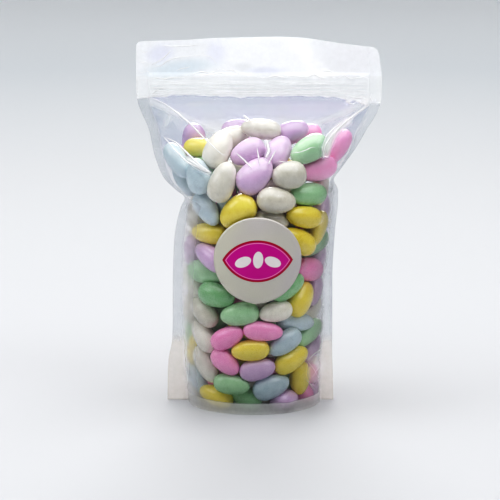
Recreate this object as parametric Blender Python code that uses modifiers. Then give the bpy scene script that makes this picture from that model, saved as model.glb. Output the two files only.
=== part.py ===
"""A clear stand-up pouch filled with sugared almonds, with a press-to-close strip and a round label.

The pouch is one solid out to its film, and it stands on its gusset. The origin is under the middle of
its header, on the surface that it stands on. +Z is up and the label faces -Y.
"""

import math

import bmesh
import bpy
import numpy as np

# Driving sizes, in metres.
POUCH_WIDTH = 0.178
HEADER_CORNER = 0.267
HEADER_ARCH = 0.0045
HEADER_HALF = 0.0006
CORNER_RADIUS = 0.004
FIN_HALF = 0.0005
BODY_HALF_DEPTH = 0.0515
BASE_HALF_DEPTH = 0.045
BASE_ROUNDING = 0.003
GUSSET_HEIGHT = 0.044

# The press-to-close strip lies between the two panels.
ZIP_BOTTOM = 0.2255
ZIP_TOP = 0.2405
ZIP_FLANGE = 0.0004
ZIP_BEAD_HALF = 0.001
ZIP_BEAD_HEIGHT = 0.0022
ZIP_GAP = 0.0003
ZIP_WALL = 0.0005
ZIP_LENGTH = POUCH_WIDTH - 0.0008

# The taut panel below the strip slopes out at 45 degrees to the top of the almonds.
FACET_TOP = 0.224
FACET_DROP = 0.048
FACET_HALF_WIDTH = 0.078
FACET_POWER = 1.15

# The almonds push the film out in low lumps, one for each almond, up to the level that they fill.
LUMP = 0.0024
LUMP_LENGTH = 0.029
LUMP_ROW = 0.019
FILL_LEVEL = 0.198

LABEL_RADIUS = 0.03175
LABEL_THICKNESS = 0.0003
LABEL_GAP = 0.0006
LABEL_HEIGHT = 0.116
LABEL_X = -0.001

# Each side's edge is (height, distance from the middle of the header), with the notch at its waist.
LEFT_EDGE = (
    (0.000, 0.0668),
    (0.030, 0.0660),
    (0.046, 0.0632),
    (0.100, 0.0625),
    (0.127, 0.0608),
    (0.144, 0.0568),
    (0.151, 0.0540),
    (0.157, 0.0605),
    (0.165, 0.0685),
    (0.180, 0.0750),
    (0.202, 0.0800),
    (0.224, 0.0882),
    (0.242, 0.0890),
)
RIGHT_EDGE = (
    (0.000, 0.0545),
    (0.045, 0.0535),
    (0.090, 0.0535),
    (0.127, 0.0554),
    (0.150, 0.0575),
    (0.157, 0.0575),
    (0.164, 0.0545),
    (0.172, 0.0592),
    (0.187, 0.0698),
    (0.201, 0.0778),
    (0.213, 0.0850),
    (0.224, 0.0885),
    (0.242, 0.0890),
)

# The sealed fins are widest in the flaps beside the gusset.
LEFT_FIN = ((0.000, 0.0155), (0.030, 0.0120), (0.050, 0.0085), (0.270, 0.0085))
RIGHT_FIN = ((0.000, 0.0100), (0.030, 0.0085), (0.050, 0.0065), (0.200, 0.0070), (0.230, 0.0085))

# The half depth from the base to the strip.
HALF_DEPTH = (
    (0.000, BASE_HALF_DEPTH),
    (GUSSET_HEIGHT, 0.0500),
    (0.080, BODY_HALF_DEPTH),
    (0.165, BODY_HALF_DEPTH),
    (0.178, 0.0455),
    (0.200, 0.0240),
    (0.220, 0.0042),
    (ZIP_BOTTOM, ZIP_BEAD_HALF + ZIP_GAP + ZIP_WALL),
    (ZIP_TOP + 0.001, ZIP_BEAD_HALF + ZIP_GAP + ZIP_WALL),
    (ZIP_TOP + 0.004, HEADER_HALF),
    (HEADER_CORNER, HEADER_HALF),
)

# The points across one panel, and the heights of the rings that make up the solid.
PANEL_POINTS = 35
RING_HEIGHTS = (
    *np.array([0.0, 0.0012, BASE_ROUNDING, 0.007]),
    *np.linspace(0.012, 0.140, 26),
    *np.array([0.1445, 0.148, 0.151, 0.154, 0.157, 0.1605, 0.164, 0.168, 0.1725]),
    *np.linspace(0.177, 0.220, 9),
    *np.array([0.2245, 0.233, ZIP_TOP + 0.002, ZIP_TOP + 0.005, 0.255]),
)


def clear_scene():
    for obj in list(bpy.data.objects):
        bpy.data.objects.remove(obj, do_unlink=True)


def collection_named(name):
    made = bpy.data.collections.new(name)
    bpy.context.scene.collection.children.link(made)
    return made


def material(name, color, roughness, transmission=0.0):
    made = bpy.data.materials.new(name)
    made.use_nodes = True
    shader = made.node_tree.nodes["Principled BSDF"]
    shader.inputs["Base Color"].default_value = (*color, 1.0)
    shader.inputs["Roughness"].default_value = roughness
    shader.inputs["Metallic"].default_value = 0.0
    shader.inputs["Transmission Weight"].default_value = transmission
    return made


def curve_through(stations, at):
    """The value at one height of a smooth curve through (height, value) pairs."""
    heights, values = np.array(stations).T
    at = min(max(at, heights[0]), heights[-1])
    steps = np.diff(values) / np.diff(heights)
    inner = np.where(steps[1:] * steps[:-1] > 0, (steps[1:] + steps[:-1]) / 2, 0.0)
    slopes = np.concatenate([steps[:1], inner, steps[-1:]])
    slopes = np.sign(slopes) * np.minimum(
        np.abs(slopes),
        3 * np.minimum(np.abs(np.append(steps, steps[-1])), np.abs(np.insert(steps, 0, steps[0]))),
    )
    i = int(np.clip(np.searchsorted(heights, at) - 1, 0, len(heights) - 2))
    span = heights[i + 1] - heights[i]
    t = (at - heights[i]) / span
    return (
        (2 * t**3 - 3 * t**2 + 1) * values[i]
        + (t**3 - 2 * t**2 + t) * span * slopes[i]
        + (3 * t**2 - 2 * t**3) * values[i + 1]
        + (t**3 - t**2) * span * slopes[i + 1]
    )


def facet_half_width(height):
    """Half the width of the taut flat panel, which narrows to a point going down."""
    down = min(max((FACET_TOP - height) / FACET_DROP, 0.0), 1.0)
    return FACET_HALF_WIDTH * (1 - down) ** FACET_POWER


def lump_height(along, height):
    """How far the almonds push the film out: rows of low domes, each row shifted from the one below."""
    row = height / LUMP_ROW + 0.22 * np.sin(2 * math.pi * along / 0.071)
    shift = 0.5 * (np.floor(row) % 2) + 0.3 * np.sin(2.4 * np.floor(row))
    dome = np.abs(np.sin(math.pi * (along / LUMP_LENGTH + shift)) * np.sin(math.pi * row))
    to_fill = min(max((FILL_LEVEL - height) / 0.02, 0.0), 1.0)
    from_base = min(max((height - BASE_ROUNDING) / 0.01, 0.0), 1.0)
    return LUMP * (dome**0.6 - 0.6) * to_fill * from_base


def label_clearance(x, height):
    """Zero under the label, where the film lies smooth, and one away from it."""
    away = np.hypot(x - LABEL_X, height - LABEL_HEIGHT) - LABEL_RADIUS
    return np.clip((away - 0.002) / 0.012, 0.0, 1.0)


def panel_limits(height):
    """The middle and half width of the bag between its fins, and its two outer edges."""
    left = curve_through(LEFT_EDGE, height)
    right = curve_through(RIGHT_EDGE, height)
    if height > HEADER_CORNER - CORNER_RADIUS:
        corner = CORNER_RADIUS - math.sqrt(
            max(CORNER_RADIUS**2 - (height - HEADER_CORNER + CORNER_RADIUS) ** 2, 0.0)
        )
        left -= corner
        right -= corner
    left_in = left - curve_through(LEFT_FIN, height)
    right_in = right - curve_through(RIGHT_FIN, height)
    return (right_in - left_in) / 2, (right_in + left_in) / 2, -left, right


def panel_depth(x, height, middle, half):
    """The distance of the film from the plane of the seams: flat across the facet, then round to the fin."""
    depth = curve_through(HALF_DEPTH, height)
    if height < BASE_ROUNDING:
        short = 1 - height / BASE_ROUNDING
        depth -= BASE_ROUNDING * (1 - math.sqrt(1 - short**2))
    facet = min(facet_half_width(height), half * 0.97) if height < FACET_TOP else half * 0.97
    out = np.clip((np.abs(x - middle) - facet) / (half - facet), 0.0, 1.0)
    return FIN_HALF + (depth - FIN_HALF) * np.sqrt(1 - out**2)


def top_lift(x, height):
    """The header's top edge rises to its middle."""
    share = min(max((height - ZIP_TOP) / (HEADER_CORNER - ZIP_TOP), 0.0), 1.0)
    return HEADER_ARCH * share * (1 - (x / (POUCH_WIDTH / 2)) ** 2)


def ring_at(height):
    """One closed ring: the front from left to right, then the back from right to left."""
    middle, half, left, right = panel_limits(height)
    x = middle + half * np.sin(np.linspace(-math.pi / 2, math.pi / 2, PANEL_POINTS))
    depth = panel_depth(x, height, middle, half)
    along = half * np.linspace(-math.pi / 2, math.pi / 2, PANEL_POINTS)
    share = np.cos(np.linspace(-math.pi / 2, math.pi / 2, PANEL_POINTS)) ** 0.5
    rows = []
    for side in (-1, 1):
        lump = share * lump_height(along + 0.04 * side, height)
        if side < 0:
            lump = lump * label_clearance(x, height)
        reach = np.hypot(x - middle, depth)
        px = x + lump * (x - middle) / reach
        py = side * (depth + lump * depth / reach)
        px = np.concatenate([[left], px, [right]])
        py = np.concatenate([[side * FIN_HALF], py, [side * FIN_HALF]])
        rows.append(np.column_stack([px, py, height + top_lift(px, height)]))
    return np.vstack([rows[0], rows[1][::-1]])


def loft(name, rings, parent, skin, into):
    """A solid through rings of equal counts, with strips from front to back as its two end faces."""
    mesh = bmesh.new()
    count = len(rings[0])
    rows = [[mesh.verts.new(point) for point in ring] for ring in rings]
    for low, high in zip(rows, rows[1:]):
        for i in range(count):
            j = (i + 1) % count
            mesh.faces.new((low[i], low[j], high[j], high[i]))
    for row, upward in ((rows[0], False), (rows[-1], True)):
        for i in range(count // 2 - 1):
            corners = (row[i], row[i + 1], row[count - 2 - i], row[count - 1 - i])
            mesh.faces.new(corners if upward else corners[::-1])
    bmesh.ops.recalc_face_normals(mesh, faces=mesh.faces)
    return object_from(mesh, name, parent, skin, into)


def object_from(mesh, name, parent, skin, into):
    data = bpy.data.meshes.new(name)
    mesh.to_mesh(data)
    mesh.free()
    data.shade_smooth()
    data.materials.append(skin)
    made = bpy.data.objects.new(name, data)
    made.parent = parent
    into.objects.link(made)
    return made


def make_pouch(parent, into, cutters):
    """The filled bag with a slot for the strip, which runs out at both sides."""
    corner = CORNER_RADIUS * (1 - np.cos(np.linspace(0, math.pi / 2, 4)))
    heights = [*RING_HEIGHTS, *(HEADER_CORNER - CORNER_RADIUS + np.sort(corner))]
    film = material("film", (0.80, 0.84, 0.86), 0.12, 0.3)
    pouch = loft("pouch", [ring_at(float(height)) for height in heights], parent, film, into)

    bpy.ops.mesh.primitive_cube_add(size=1)
    slot = bpy.context.object
    slot.name = "strip_slot"
    slot.location = (0, 0, (ZIP_BOTTOM + ZIP_TOP) / 2)
    slot.scale = (
        2 * POUCH_WIDTH,
        2 * (ZIP_BEAD_HALF + ZIP_GAP),
        ZIP_TOP - ZIP_BOTTOM + 2 * ZIP_GAP,
    )
    for old in slot.users_collection:
        old.objects.unlink(slot)
    cutters.objects.link(slot)
    slot.parent = parent
    slot.hide_render = True
    slot.display_type = "WIRE"

    cut = pouch.modifiers.new("strip_slot", "BOOLEAN")
    cut.operation = "DIFFERENCE"
    cut.solver = "EXACT"
    cut.object = slot
    return pouch


def make_zip(parent, into):
    """The press-to-close strip: a thin flange with two beads, the same profile along its whole length."""
    beads = (ZIP_BOTTOM + 0.0045, ZIP_BOTTOM + 0.0105)
    side = [(ZIP_FLANGE, ZIP_BOTTOM)]
    for bead in beads:
        side.append((ZIP_FLANGE, bead - ZIP_BEAD_HEIGHT / 2 - 0.0004))
        side.append((ZIP_BEAD_HALF, bead - ZIP_BEAD_HEIGHT / 2))
        side.append((ZIP_BEAD_HALF, bead + ZIP_BEAD_HEIGHT / 2))
        side.append((ZIP_FLANGE, bead + ZIP_BEAD_HEIGHT / 2 + 0.0004))
    side.append((ZIP_FLANGE, ZIP_TOP))
    outline = side + [(-y, z) for y, z in reversed(side)]

    profile = bpy.data.curves.new("zip_strip", "CURVE")
    profile.dimensions = "2D"
    profile.fill_mode = "BOTH"
    profile.extrude = ZIP_LENGTH / 2
    spline = profile.splines.new("POLY")
    spline.points.add(len(outline) - 1)
    for point, (y, z) in zip(spline.points, outline):
        point.co = (y, z, 0, 1)
    spline.use_cyclic_u = True
    profile.materials.append(material("strip", (0.86, 0.88, 0.89), 0.25, 0.2))
    strip = bpy.data.objects.new("zip_strip", profile)
    # The profile's X and Y become the world's Y and Z, so its length runs along X.
    strip.rotation_euler = (math.pi / 2, 0, math.pi / 2)
    strip.parent = parent
    into.objects.link(strip)
    return strip


def make_label(parent, into):
    """A round sticker, bent to the front of the bag: rings about its middle, then thickened outwards."""
    mesh = bmesh.new()
    segments = 40
    radii = LABEL_RADIUS * np.array([0.28, 0.52, 0.76, 1.0])

    def on_bag(x, z):
        middle, half, _, _ = panel_limits(z)
        depth = panel_depth(np.array([x]), z, middle, half)[0]
        return mesh.verts.new((x, -depth - LABEL_GAP, z))

    centre = on_bag(LABEL_X, LABEL_HEIGHT)
    rows = []
    for radius in radii:
        turns = [2 * math.pi * i / segments for i in range(segments)]
        rows.append(
            [
                on_bag(LABEL_X + radius * math.cos(a), LABEL_HEIGHT + radius * math.sin(a))
                for a in turns
            ]
        )
    for i in range(segments):
        j = (i + 1) % segments
        mesh.faces.new((centre, rows[0][i], rows[0][j]))
        for inner, outer in zip(rows, rows[1:]):
            mesh.faces.new((inner[i], outer[i], outer[j], inner[j]))
    paper = material("label", (0.72, 0.66, 0.70), 0.35)
    label = object_from(mesh, "label", parent, paper, into)
    shell = label.modifiers.new("thickness", "SOLIDIFY")
    shell.thickness = LABEL_THICKNESS
    shell.offset = 1.0
    return label


def build():
    clear_scene()
    into = collection_named("almond_pouch")
    cutters = collection_named("almond_pouch_cutters")
    root = bpy.data.objects.new("almond_pouch_origin", None)
    into.objects.link(root)
    make_pouch(root, into, cutters)
    make_zip(root, into)
    make_label(root, into)


build()
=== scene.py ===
import math

import bmesh
import bpy
import numpy as np
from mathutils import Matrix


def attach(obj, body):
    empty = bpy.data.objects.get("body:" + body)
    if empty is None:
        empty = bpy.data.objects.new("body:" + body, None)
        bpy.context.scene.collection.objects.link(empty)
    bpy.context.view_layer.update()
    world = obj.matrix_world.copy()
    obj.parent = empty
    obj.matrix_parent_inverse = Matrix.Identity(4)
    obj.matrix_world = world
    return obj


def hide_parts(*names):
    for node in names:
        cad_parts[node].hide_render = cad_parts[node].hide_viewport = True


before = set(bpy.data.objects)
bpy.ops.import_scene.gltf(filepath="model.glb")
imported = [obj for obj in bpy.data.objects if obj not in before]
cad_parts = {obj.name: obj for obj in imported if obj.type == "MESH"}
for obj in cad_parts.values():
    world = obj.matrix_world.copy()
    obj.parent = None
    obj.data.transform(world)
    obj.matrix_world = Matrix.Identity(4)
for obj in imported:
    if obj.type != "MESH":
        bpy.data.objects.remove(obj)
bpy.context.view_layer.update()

# A stand-up pouch of clear film, filled with sugared almonds.
# Lengths are in millimetres in the frame of the CAD: +Z up, -Y to the front, +X to the right.
# They become metres where a mesh, a lamp or the camera is made.
mm = 0.001

# How the photograph was taken, read off it: the header is 178 mm wide over 244.7 pixels.
photo = {
    "headerColumn": 258.9,  # the pixel column of the header's middle
    "groundRow": 400.0,     # the pixel row of the ground under the side seams
    "mmPerPixel": 0.7275,   # at the bag's middle plane
    "width": 500,           # pixels, and as many high
    "middle": 250.0,        # the middle pixel
    "elevation": 13.0,      # degrees that the camera looks down
    "distance": 6000.0,     # far off, with a long lens, as the sides hardly converge
    "sensor": 36.0,         # mm, the width of the camera's sensor
    # linear light and how it is shown: a camera's contrast, with deepened darks
    "toneCurve": ((0.03, 0.010), (0.08, 0.038), (0.16, 0.108), (0.3, 0.262), (0.4, 0.376), (0.5, 0.505),
                  (0.62, 0.65), (0.8, 0.82)),
}


def cameraFrame():
    # eye, right, up and forward of the camera, in the frame of the bag
    e = math.radians(photo["elevation"])
    forward = np.array([0.0, math.cos(e), -math.sin(e)])
    aim = np.array([
        (photo["middle"] - photo["headerColumn"]) * photo["mmPerPixel"],
        0.0,
        (photo["groundRow"] - photo["middle"]) * photo["mmPerPixel"] / math.cos(e),
    ])
    right, up = np.array([1.0, 0.0, 0.0]), np.array([0.0, math.sin(e), math.cos(e)])
    return aim - forward * photo["distance"], right, up, forward


def lineOfSight(column, row):
    # the direction from the eye through a pixel, as a unit vector for each one asked for
    eye, right, up, forward = cameraFrame()
    scale = photo["mmPerPixel"] / photo["distance"]
    across = (np.asarray(column, float) - photo["middle"]) * scale
    rise = (photo["middle"] - np.asarray(row, float)) * scale
    way = forward + across[..., None] * right + rise[..., None] * up
    return way / np.linalg.norm(way, axis=-1, keepdims=True)


def pixelOf(points):
    # the pixel column and row where each point lies in the photograph
    eye, right, up, forward = cameraFrame()
    off = points - eye
    scale = photo["distance"] / photo["mmPerPixel"] / (off @ forward)
    return photo["middle"] + (off @ right) * scale, photo["middle"] - (off @ up) * scale


camera = bpy.data.objects.new("camera", bpy.data.cameras.new("camera"))
bpy.context.scene.collection.objects.link(camera)
camera.data.sensor_width = photo["sensor"]
camera.data.lens = photo["sensor"] * photo["distance"] / (photo["width"] * photo["mmPerPixel"])
camera.data.clip_end = 40.0  # metres, past the floor's far edge
camera.location = cameraFrame()[0] * mm
camera.rotation_euler = (math.radians(90 - photo["elevation"]), 0.0, 0.0)
bpy.context.scene.camera = camera
view = bpy.context.scene.view_settings
view.view_transform = "Standard"
view.use_curve_mapping = True
for light, shown in photo["toneCurve"]:
    view.curve_mapping.curves[3].points.new(light, shown)
view.curve_mapping.update()
print("camera set", round(camera.data.lens, 1), "mm lens")


# Small helpers for nodes, colours and meshes

def linear(code):
    # an sRGB hex colour as linear red, green, blue and 1
    share = np.array([int(code[i:i + 2], 16) for i in (1, 3, 5)]) / 255
    light = np.where(share <= 0.04045, share / 12.92, ((share + 0.055) / 1.055) ** 2.4)
    return (*light.tolist(), 1.0)


def add(tree, kind, values=None):
    # one node: each value is an option of the node, or else goes to the socket of that name or number, which
    # takes a plain value or the output that it is linked to
    node = tree.nodes.new("ShaderNode" + kind)
    for name, value in (values or {}).items():
        if isinstance(name, str) and hasattr(node, name):
            setattr(node, name, value)
        elif isinstance(value, bpy.types.NodeSocket):
            tree.links.new(value, node.inputs[name])
        else:
            node.inputs[name].default_value = value
    return node


mostNoise = {"From Min": 0.3, "From Max": 0.7}  # nearly all values of a noise lie between these


def newMaterial(name):
    # a material with an empty node tree
    material = bpy.data.materials.new(name)
    material.use_nodes = True
    material.node_tree.nodes.clear()
    return material, material.node_tree


def gridFaces(rows, columns, start=0, flip=False):
    # the quads between neighbouring points of a grid that is laid out row by row
    at = start + np.arange(rows * columns).reshape(rows, columns)
    quads = np.stack([at[:-1, :-1], at[:-1, 1:], at[1:, 1:], at[1:, :-1]], -1).reshape(-1, 4)
    return quads[:, ::-1] if flip else quads


def joined(grids):
    # the points and quads of several grids as one mesh
    points, quads, start = [], [], 0
    for grid in grids:
        points.append(grid.reshape(-1, 3))
        quads.append(gridFaces(grid.shape[0], grid.shape[1], start))
        start += grid.shape[0] * grid.shape[1]
    return np.concatenate(points), np.concatenate(quads)


def polar(radii, around):
    # a disc of rings: radius * cos(turn) and radius * sin(turn), as the turn runs round each ring
    turn = np.linspace(0, 2 * math.pi, around + 1)[None, :]
    return radii[:, None] * np.cos(turn), radii[:, None] * np.sin(turn)


def fillLayer(layer, key, values):
    layer.data.foreach_set(key, values.astype(np.float32).ravel())


def makePiece(name, points, quads, material, slot=None, veil=None, uv=None, batchAndShade=None):
    # a mesh object from points in millimetres, its doubles merged and its faces turned outwards
    mesh = bpy.data.meshes.new(name)
    mesh.vertices.add(len(points))
    mesh.vertices.foreach_set("co", (points * mm).astype(np.float32).ravel())
    mesh.loops.add(quads.size)
    mesh.loops.foreach_set("vertex_index", quads.astype(np.int32).ravel())
    mesh.polygons.add(len(quads))
    mesh.polygons.foreach_set("loop_start", np.arange(0, quads.size, 4, dtype=np.int32))
    mesh.update(calc_edges=True)
    if veil is not None:
        fillLayer(mesh.attributes.new("veil", "FLOAT_COLOR", "POINT"), "color", veil)
    if batchAndShade is not None:
        fillLayer(mesh.attributes.new("batchAndShade", "FLOAT", "POINT"), "value", batchAndShade)
    if uv is not None:
        fillLayer(mesh.uv_layers.new(name="print"), "uv", uv[quads.ravel()])
    work = bmesh.new()
    work.from_mesh(mesh)
    bmesh.ops.remove_doubles(work, verts=work.verts, dist=1e-6)
    bmesh.ops.recalc_face_normals(work, faces=work.faces)
    work.to_mesh(mesh)
    work.free()
    mesh.validate()
    mesh.shade_smooth()
    mesh.materials.append(material)
    piece = bpy.data.objects.new(name, mesh)
    bpy.context.scene.collection.objects.link(piece)
    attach(piece, "root")
    return piece


def eased(value, low, high):
    # 0 below low, 1 above high, and a smooth step between; or the other way round where high is the lower
    t = np.clip((value - low) / (high - low), 0, 1)
    return t * t * (3 - 2 * t)


def ripples(seed, points, lengths, count=9):
    # an even, random-looking relief, mostly from -1 to 1: a sum of sine waves of the given lengths, each in a
    # random direction
    rng = np.random.default_rng(seed)
    total = np.zeros(points.shape[:-1])
    for _ in range(count):
        way = rng.standard_normal(points.shape[-1])
        way *= 2 * math.pi / rng.uniform(*lengths) / np.linalg.norm(way)
        total += np.sin(points @ way + rng.uniform(0, 2 * math.pi))
    return total / count ** 0.5 / 1.4


# The bag's form: the outer edges of the side seams, the seams' widths and the half depth, by height
bag = {
    "leftEdge": ((0, 66.8), (30, 66.0), (46, 63.2), (100, 62.5), (127, 60.8), (144, 56.8), (151, 54.0),
                 (157, 60.5), (165, 68.5), (180, 75.0), (202, 80.0), (224, 88.2), (242, 89.0)),
    "rightEdge": ((0, 54.5), (45, 53.5), (90, 53.5), (127, 55.4), (150, 57.5), (157, 57.5), (164, 54.5),
                  (172, 59.2), (187, 69.8), (201, 77.8), (213, 85.0), (224, 88.5), (242, 89.0)),
    "leftFin": ((0, 15.5), (30, 12.0), (50, 8.0), (70, 6.6), (130, 6.0), (144, 4.0), (151, 2.8), (158, 3.4),
                (168, 5.2), (190, 5.8), (230, 8.5)),
    "rightFin": ((0, 10.0), (30, 8.5), (50, 6.5), (88, 6.0), (108, 4.0), (155, 3.2), (166, 2.3), (180, 2.6),
                 (193, 4.4), (206, 6.5), (230, 8.5)),
    "halfDepth": ((0, 46.0), (44, 49.4), (80, 50.8), (116, 52.6), (148, 50.6), (165, 49.2), (178, 44.5),
                  (200, 24.0), (220, 4.2), (225.5, 1.8), (241.5, 1.8), (244.5, 0.6), (267, 0.6)),
    "halfWidth": 89.0,    # of the header
    "archFrom": 242.0,    # above this, just over the strip, the panel is stretched to the arched top edge
    "top": 267.0,         # the height of the header's edge before that
    "facetTop": 224.0,    # the front and back are flat in a triangle that hangs from here
    "facetDrop": 48.0,
    "facetHalf": 78.0,
    "facetPower": 1.15,
    "topEdge": ((-89.0, 266.3), (-43.0, 267.9), (-10.0, 268.8), (14.0, 269.2), (30.0, 268.7),
                (52.0, 266.4), (74.0, 263.6), (89.0, 262.0)),  # the height of the header's edge, by x
    "drawnIn": 2.6,       # how much narrower the header's top is at the right
    "leanBack": 5.2,      # how far the header's top leans to the back
    "cornerRadius": 4.0,
}


def through(stations, at):
    # a smooth curve through (height, value) pairs: cubic pieces whose slopes never overshoot
    heights, values = np.array(stations, float).T
    at = np.clip(at, heights[0], heights[-1])
    steps = np.diff(values) / np.diff(heights)
    slopes = np.concatenate([steps[:1], (steps[1:] + steps[:-1]) / 2, steps[-1:]])
    least = 3 * np.minimum(np.abs(np.append(steps, steps[-1])), np.abs(np.insert(steps, 0, steps[0])))
    turning = np.concatenate([[False], steps[1:] * steps[:-1] <= 0, [False]])
    slopes = np.where(turning, 0, np.sign(slopes) * np.minimum(np.abs(slopes), least))
    i = np.clip(np.searchsorted(heights, at) - 1, 0, len(heights) - 2)
    span = heights[i + 1] - heights[i]
    t = (at - heights[i]) / span
    return ((2 * t**3 - 3 * t**2 + 1) * values[i] + (t**3 - 2 * t**2 + t) * span * slopes[i]
            + (3 * t**2 - 2 * t**3) * values[i + 1] + (t**3 - t**2) * span * slopes[i + 1])


def section(z):
    # the middle, half width, half depth and flat half width of the bag's cross section at each height
    left = through(bag["leftEdge"], z) - through(bag["leftFin"], z)
    right = through(bag["rightEdge"], z) - through(bag["rightFin"], z)
    half = (left + right) / 2
    down = np.clip((bag["facetTop"] - z) / bag["facetDrop"], 0, 1)
    flat = np.minimum(bag["facetHalf"] * (1 - down) ** bag["facetPower"], half * 0.97)
    return (right - left) / 2, half, through(bag["halfDepth"], z), flat


tableLow, tableHigh, tableStep = -20, 280, 0.5
tableRows = np.stack(section(np.arange(tableLow, tableHigh, tableStep)), 1)


def quickSection(z):
    # the same four numbers, read from a table
    at = np.clip((z - tableLow) / tableStep, 0, len(tableRows) - 2)
    i = at.astype(int)
    share = (at - i)[:, None]
    row = tableRows[i] * (1 - share) + tableRows[i + 1] * share
    return row[:, 0], row[:, 1], row[:, 2], row[:, 3]


def wallValue(p, inset):
    # above 0 inside the bag and 0 on its wall: 1 less the squares of the two shares of the way out
    middle, half, depth, flat = quickSection(p[:, 2])
    half = half - inset
    depth = np.maximum(depth - inset * 1.2, 0.5)
    flat = np.minimum(flat, half * 0.97)
    out = np.maximum((np.abs(p[:, 0] - middle) - flat) / (half - flat), 0)
    return 1 - out**2 - (p[:, 1] / depth) ** 2


def wallAt(p, inset):
    # the distance to the wall, about right near it, and the direction outwards
    step = 0.4
    around = np.concatenate([p] + [p + step * way for axis in np.eye(3) for way in (axis, -axis)])
    values = wallValue(around, inset).reshape(7, -1)
    slope = np.stack([values[1] - values[2], values[3] - values[4], values[5] - values[6]], 1) / (2 * step)
    steep = np.linalg.norm(slope, axis=1) + 1e-9
    return values[0] / steep, -slope / steep[:, None]


# The almonds: egg shapes about 28 by 17 by 15 mm, which fill the bag to a height of about 210 mm
almonds = {
    "length": 28.4,
    "width": 17.4,
    "thickness": 14.6,
    "spread": 0.06,       # how much they differ, as a share
    "count": 256,
    "seed": 11,
    "top": 200.0,         # how high they are strewn at first
    "floor": 1.6,         # how high the lowest of them rest, clear of the base panel
    "sideClear": 0.95,    # how far they keep from the side seams
    "lid": 204.5,         # how high the heap may stand, measured square to the line of sight
    "taper": 0.13,        # how much narrower one end is
    "dent": 0.011,        # how far the shell swells and dips, as a share
    "fullness": 2.25,     # 2 is an ellipsoid, and more is plumper
    "shrink": 0.985,      # drawn a little smaller than they were packed
    "fine": (26, 15),     # points round and along one that shows
    "coarse": (12, 8),    # and one that is buried
    "fineWithin": 17.0,   # how near the wall one counts as showing
    "fineAbove": 175.0,   # and above which height
    "mixed": (("white", 0.26), ("mint", 0.2), ("lilac", 0.15), ("pink", 0.15), ("yellow", 0.14),
              ("blue", 0.1)),
}

# How they settle against each other, round by round, in millimetres unless a share is named
settling = {
    "rounds": 700,
    "grown": 0.45,        # the share of the rounds by which they have their full size
    "grownSeen": 0.3,     # and by which those that the photograph shows have theirs
    "ease": 0.35,         # how easily those are pushed, as a share
    "inset": 0.4,         # how far all keep from the wall
    "farthest": 3.0,      # the deepest overlap with a wall that is undone in one round
    "sink": 0.05,         # how far the others sink in a round
    "behind": 0.3,        # how far they step back from one that they hide
    "hideWithin": 15.5,   # how near its line of sight they hide it
    "hideDepth": 7.0,     # unless they lie this much farther back
    "home": (0.12, 0.04),  # how strongly each that shows is drawn to its line of sight, before and after late
    "homeTurn": 0.05,     # how strongly it is turned back to how it looks
    "toFilm": (0.05, 0.02),  # how far it is drawn to the film in a round before late, in layer 0 and behind
    "layerStep": 13.0,    # how much deeper each layer starts
    "late": 0.8,          # a share of the rounds
    "calm": 60,           # the last rounds, in which nothing sinks
    "firm": 1.4,          # how hard the wall, the floor and the lid push
    "bringBack": 2.0,     # how far one that got out is moved in
    "crowd": 1.6,         # with more hits than this each counts for less
    "mostTurn": 0.3,      # radians in a round
}

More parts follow.
